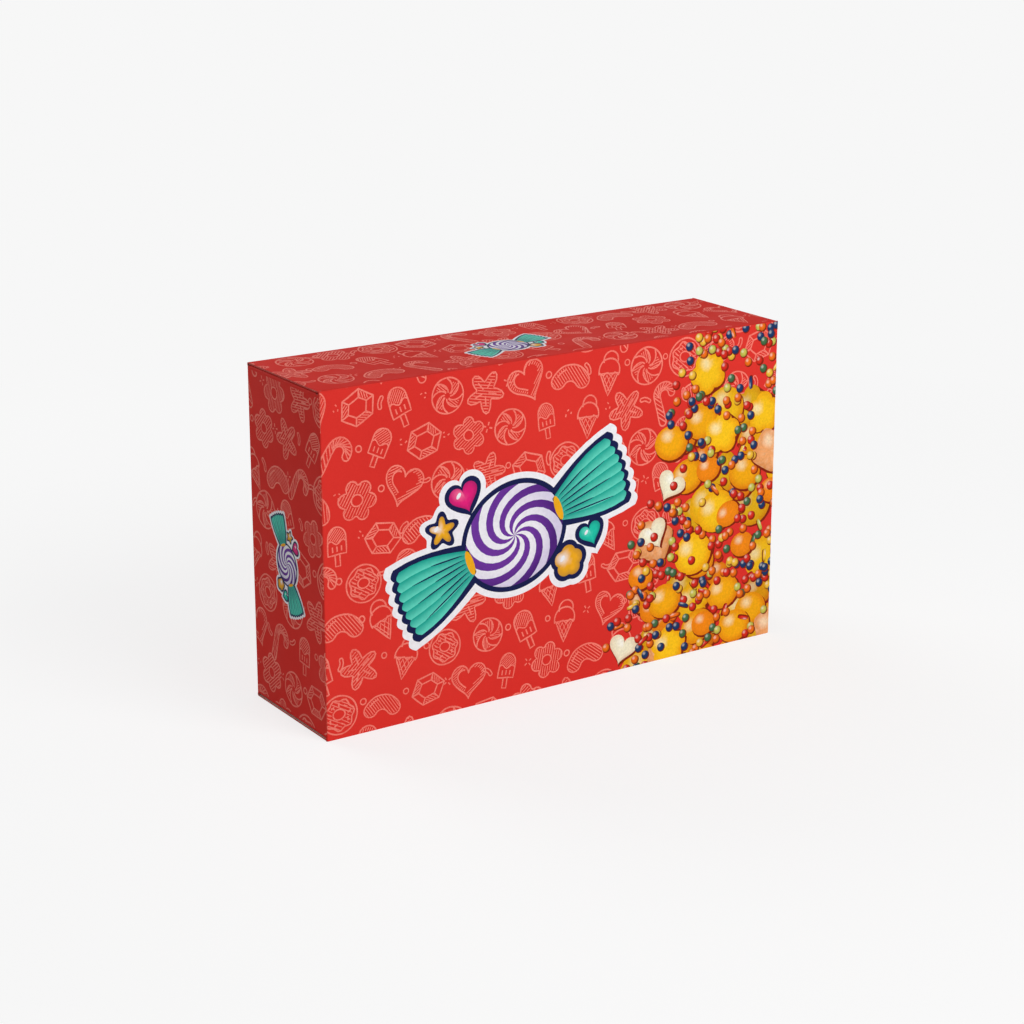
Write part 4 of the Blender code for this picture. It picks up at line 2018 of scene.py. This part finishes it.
@dataclass(frozen=True)
class Cascade:
    """The heap of sweets that pours down the front's right edge and on round the corner."""

    foot: float = 18.5
    slope: float = 0.335
    ragged: float = 5.0
    rear_foot: float = 144.0
    rear_slope: float = -0.22
    wave: Flat = (13.0, 40.0)
    start: float = 8.0
    rows: Flat = (-6.0, 124.0)
    big_tries: tuple[int, ...] = (220, 160, 300, 260)
    small_tries: tuple[int, ...] = (4200, 3400, 1800)
    heights: tuple[float, ...] = (0.030, 0.037, 0.044, 0.051, 0.058, 0.065, 0.072)
    gloom: tuple[float, ...] = (0.3, 0.14, 0.04, 0.0, 0.0, 0.0, 0.0)
    inset: tuple[float, ...] = (8.0, 7.0, 7.0, 2.5)
    big_shadow: float = 0.6
    small_shadow: float = 0.25
    shadow: Colour = ink(128, 36, 14)
    shadow_drop: float = 0.003 * MM
    bare_share: float = 0.96
    crest: float = 74.0
    crest_fade: float = 34.0
    hiding_depth: float = 15.0
    outer_depth: float = 7.0
    big_lean: float = 0.6
    clump: float = 11.0
    edge_depth: float = 4.0
    edge_spread: float = 60.0
    low_reach: float = 90.0
    everywhere: float = 0.08
    at_edge: float = 0.3
    at_foot: float = 0.35
    in_clumps: float = 2.2
    stray_reach: float = 5.0
    stray_share: float = 0.05
    sunk: float = 0.035 * MM
    spread: float = 1.3
    seed: int = 11
    kinds: Confectionery = Confectionery()

    def inside(self, place: Flat) -> float:
        """Tells how far a place lies inside the cascade.

        Args:
            place: A place on the unrolled wall, in millimetres from the front's middle.

        Returns:
            The distance from the nearer edge, below 0 outside.
        """
        u, v = place
        wave = noise.noise(Vector((v / self.wave[0], u / self.wave[1], 3))) * self.ragged
        front = u - (self.foot + self.slope * v + wave)
        return min(front, (self.rear_foot + self.rear_slope * v - wave) - u)

    def scatter(self) -> list[Placed]:
        """Throws the sweets, none over another of its own layer, and lists the lowest layer first.

        Returns:
            The sweets in their places.
        """
        draw, made = random.Random(self.seed), []
        for kinds, tries, first, shadow in (
            (self.kinds.big(), self.big_tries, 0, self.big_shadow),
            (self.kinds.small(), self.small_tries, len(self.big_tries), self.small_shadow),
        ):
            for layer, count in enumerate(tries, first):
                kept: list[Placed] = []
                for _ in range(count):
                    across = draw.uniform(self.foot - self.start, self.rear_foot)
                    place = (across, draw.uniform(*self.rows))
                    edge = math.exp(-max(0.0, self.inside(place)) / self.outer_depth)
                    low_enough = [kind.lowest <= layer for kind in kinds.values()]
                    chances = [kind.weight + kind.outer * edge for kind in kinds.values()]
                    weights = [chance * may for chance, may in zip(chances, low_enough)]
                    name = draw.choices(list(kinds), weights)[0]
                    radius = kinds[name].reach(shadow)
                    lean = self.big_lean if first == 0 else 0.0 if "ball" in name else math.pi
                    turn = draw.uniform(-lean, lean)
                    free = self.allowed(place, radius, layer, draw.random()) and all(
                        math.dist(place, other.place) > radius + other.radius for other in kept
                    )
                    bare = free and first and draw.random() < self.bare_share
                    if free and not (bare and any(other.bears(place) for other in made)):
                        kept.append(Placed(name, place, radius, layer, turn))
                made += kept
        return made

    def allowed(self, place: Flat, radius: float, layer: int, chance: float) -> bool:
        """Tells whether a sweet may lie somewhere.

        Args:
            place: Its place.
            radius: Its radius.
            layer: Its layer.
            chance: A random share, from 0 to 1.

        Returns:
            True where it may.
        """
        depth = self.inside(place)
        if layer < len(self.big_tries):
            thin = max(0.0, place[1] - self.crest) / self.crest_fade
            return depth > self.inset[layer] and chance > thin
        clump = noise.noise(Vector((place[0] / self.clump, place[1] / self.clump, layer * 5)))
        edge = math.exp(-((depth - self.edge_depth) ** 2) / self.edge_spread)
        low = max(0.0, 1 - place[1] / self.low_reach)
        wanted = self.everywhere + self.at_edge * edge + self.at_foot * low + self.in_clumps * clump
        stray = depth > radius - self.stray_reach and chance < self.stray_share
        return (depth > 0 and chance < wanted) or stray

    def hides(self, place: Flat) -> bool:
        """Tells whether a motif at a place on the front would lie wholly under the heap."""
        return self.inside(place) > self.hiding_depth and place[1] < self.crest

    def masters(self, material: Ink) -> dict[tuple[str, int], Piece]:
        """Models each kind of sweet, on its shadow, once for each layer that it lies in.

        Args:
            material: The ink.

        Returns:
            The sweets by name and layer.
        """
        made, levels, upper = {}, [height * MM for height in self.heights], len(self.big_tries)
        for kinds, layers, shift in (
            (self.kinds.big(), range(upper), self.big_shadow),
            (self.kinds.small(), range(upper, len(levels)), self.small_shadow),
        ):
            for name, layer in ((name, layer) for name in kinds for layer in layers[kinds[name].lowest :]):
                kind, sunk = kinds[name], self.sunk
                disc = Disc(kind.tone(self.gloom[layer]), kind.outline, kind.sides, kind.rings, sunk=sunk)
                sweet = disc.build(name, kind.size, levels[layer], material)
                under = Disc(solid(self.shadow), kind.outline, 16, (), sunk=sunk)
                size = (kind.size[0] + shift / 2, kind.size[1] + shift / 2)
                shadow = under.build("shadow", size, levels[layer] - self.shadow_drop, material)
                shadow.data.transform(laid((shift, -shift)))
                made[name, layer] = Bench.join(name, [sweet, shadow])
        return made

    def build(self, faces: dict[str, Face], corner: float) -> None:
        """Prints the cascade on the front and the right side.

        Args:
            faces: The printed faces by name.
            corner: How far the right side's middle lies from the front's, round the corner.
        """
        masters, placed = self.masters(PictureFinish("sweets_ink", 1500, 0.09).make()), self.scatter()
        for face, shift in ((faces["front"], 0.0), (faces["right"], corner / MM)):
            copies = []
            for sweet in placed:
                place = (sweet.place[0] - shift, sweet.place[1])
                if face.near(place, sweet.radius * self.spread):
                    copies.append(Bench.copy(masters[sweet.name, sweet.layer], laid(place, sweet.turn)))
            face.cover(Bench.join(face.name + "_sweets", copies))
        Bench.drop(*masters.values())


@dataclass(frozen=True)
class Viewpoint:
    """The camera, at the place and turn that the box's edges give."""

    place: tuple[float, float, float] = (-0.43485, -0.6471, 0.29836)
    pitch: float = math.radians(-15.626)
    heading: float = math.radians(-33.624)
    lens: float = 80.41
    sensor: float = 36.0
    shift: float = -0.0605

    def build(self) -> None:
        """Adds the camera and makes it the scene's."""
        turn = (math.pi / 2 + self.pitch, 0, self.heading)
        camera = Bench.add("viewpoint", bpy.ops.object.camera_add, location=self.place, rotation=turn)
        data = camera.data
        data.lens, data.sensor_width, data.shift_y = self.lens, self.sensor, self.shift
        bpy.context.scene.camera = camera


@dataclass(frozen=True)
class Studio:
    """The pale floor, the soft key light, the weak rear fill and the even surroundings."""

    backdrop: float = 0.93
    ambient: float = 0.26
    key_watts: float = 10.2
    fill_watts: float = 6.0
    lamp_size: float = 0.9
    lamp_distance: float = 1.2
    lamp_swing: float = math.radians(17)
    lamp_height: float = math.radians(24)
    floor_radius: float = 4.0
    floor_level: float = 0.67
    floor_bounce: float = 0.7
    shadow_share: float = 0.3
    shadow_near: float = 0.12
    shadow_far: float = 0.5

    @staticmethod
    def seen(tree: bpy.types.NodeTree) -> Socket:
        """Gives 1 for rays that show the surroundings: straight, mirrored or through glass.

        Args:
            tree: The node tree to add to.

        Returns:
            The share's socket.
        """
        path = tree.nodes.new("ShaderNodeLightPath").outputs
        share = path["Is Camera Ray"]
        for name in ("Is Glossy Ray", "Is Transmission Ray"):
            most = tree.nodes.new("ShaderNodeMath")
            most.operation = "MAXIMUM"
            for socket, value in zip(most.inputs, (share, path[name])):
                tree.links.new(value, socket)
            share = most.outputs[0]
        return share

    def light_world(self) -> None:
        """Sets the even light from all round."""
        world = bpy.context.scene.world = bpy.data.worlds.new("studio_world")
        world.use_nodes = True
        tree, ground = world.node_tree, world.node_tree.nodes["Background"].inputs
        level = tree.nodes.new("ShaderNodeMix")
        level.inputs[2].default_value, level.inputs[3].default_value = self.ambient, self.backdrop
        tree.links.new(self.seen(tree), level.inputs[0])
        tree.links.new(level.outputs[0], ground["Strength"])
        ground["Color"].default_value = (1, 1, 1, 1)

    def lamp(self, name: str, watts: float, swing: float) -> None:
        """Adds one soft lamp that faces the carton.

        Args:
            name: The lamp's name.
            watts: Its power.
            swing: How far it is swung right of the front.
        """
        flat, rise = math.cos(self.lamp_height), math.sin(self.lamp_height)
        away = Vector((math.sin(swing) * flat, -math.cos(swing) * flat, rise)) * self.lamp_distance
        place, turn = Vector((0, 0, SIZES.height / 2)) + away, away.to_track_quat("Z", "Y").to_euler()
        made = Bench.add(name, bpy.ops.object.light_add, type="AREA", location=place, rotation=turn)
        made.data.shape, made.data.size, made.data.energy = "DISK", self.lamp_size, watts

    def lay_floor(self) -> None:
        """Lays the floor, pale as the backdrop, which still takes the carton's shadow."""
        circle = {"radius": self.floor_radius, "fill_type": "NGON"}
        floor = Bench.add("studio_floor", bpy.ops.mesh.primitive_circle_add, **circle)
        recipe = Recipe("studio_floor_paper")
        away = recipe.node("VectorMath", {0: recipe.places}, operation="LENGTH").outputs["Value"]
        share = recipe.band(away, self.shadow_near, self.shadow_far, self.shadow_share, 0)
        glow = recipe.sum("SUBTRACT", self.backdrop, recipe.sum("MULTIPLY", share, self.floor_level))
        grey = recipe.value("CombineColor", {"Red": share, "Green": share, "Blue": share})
        shadowed = recipe.value("BsdfDiffuse", {"Color": grey})
        lit = recipe.value("Emission", {"Strength": glow})
        shown = recipe.value("AddShader", {0: shadowed, 1: lit})
        bounce = recipe.value("BsdfDiffuse", {"Color": (*[self.floor_bounce] * 3, 1)})
        either = recipe.value("MixShader", {0: self.seen(recipe.tree), 1: bounce, 2: shown})
        recipe.feed(recipe.tree.nodes["Material Output"].inputs["Surface"], either)
        recipe.tree.nodes.remove(recipe.shader)
        floor.data.materials.append(recipe.material)
        floor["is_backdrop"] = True

    def build(self) -> None:
        """Builds the studio."""
        self.light_world()
        self.lay_floor()
        self.lamp("key_lamp", self.key_watts, self.lamp_swing)
        self.lamp("rear_lamp", self.fill_watts, self.lamp_swing + math.pi)
        bpy.context.scene.view_settings.view_transform = "Standard"


def print_faces(faces: dict[str, Face]) -> None:
    """Prints the line drawings, the emblem and the heap of sweets.

    Args:
        faces: The printed faces by name.
    """
    badge, cascade, pattern = Badge(), Cascade(), LinePattern()
    middle, masters = Vector((-20, 58.9)), pattern.masters(ChalkFinish().make())

    def covered(place: Flat) -> bool:
        """Tells whether a place on the front lies wholly under the emblem or the heap."""
        return badge.hides(Vector(place) - middle) or cascade.hides(place)

    for seed, (name, face) in enumerate(faces.items()):
        pattern.build(face, masters, covered if name == "front" else lambda place: False, seed)
    emblem = badge.build()
    for name, place, size, turn in (
        ("front", middle, 0.96, 0),
        ("left", (0, 55), 0.34, -90),
        ("top", (-8, -3), 0.35, 0),
        ("back", (0, 60), 0.96, 0),
    ):
        badge.stamp(emblem, faces[name], place, size, turn)
    Bench.drop(emblem, *masters.values())
    radius = SIZES.fold_radius
    cascade.build(faces, SIZES.out_x - radius + radius * math.pi / 2 + SIZES.out_y - radius)


def main() -> None:
    """Builds the carton, its print and the studio, in order."""
    logging.basicConfig(level=logging.INFO, format="%(message)s")
    skin = BoardSkin(GroundFinish().make(), RawFinish().make(), CUT_EDGE.make())
    sleeve, closures = Sleeve(skin), [Closure(end, skin) for end in End]
    walls, faces = sleeve.build(), sleeve.faces()
    for closure in closures:
        closure.build(walls)
        faces |= closure.faces()
    print_faces(faces)
    glue = bpy.data.objects["seam_glue"].data.materials
    glue.clear()
    glue.append(SEAM_GLUE.make())
    Viewpoint().build()
    Studio().build()
    boxes = [[list(corner) for corner in box] for box in (CAD_BOX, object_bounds())]


if __name__ == "__main__":
    main()
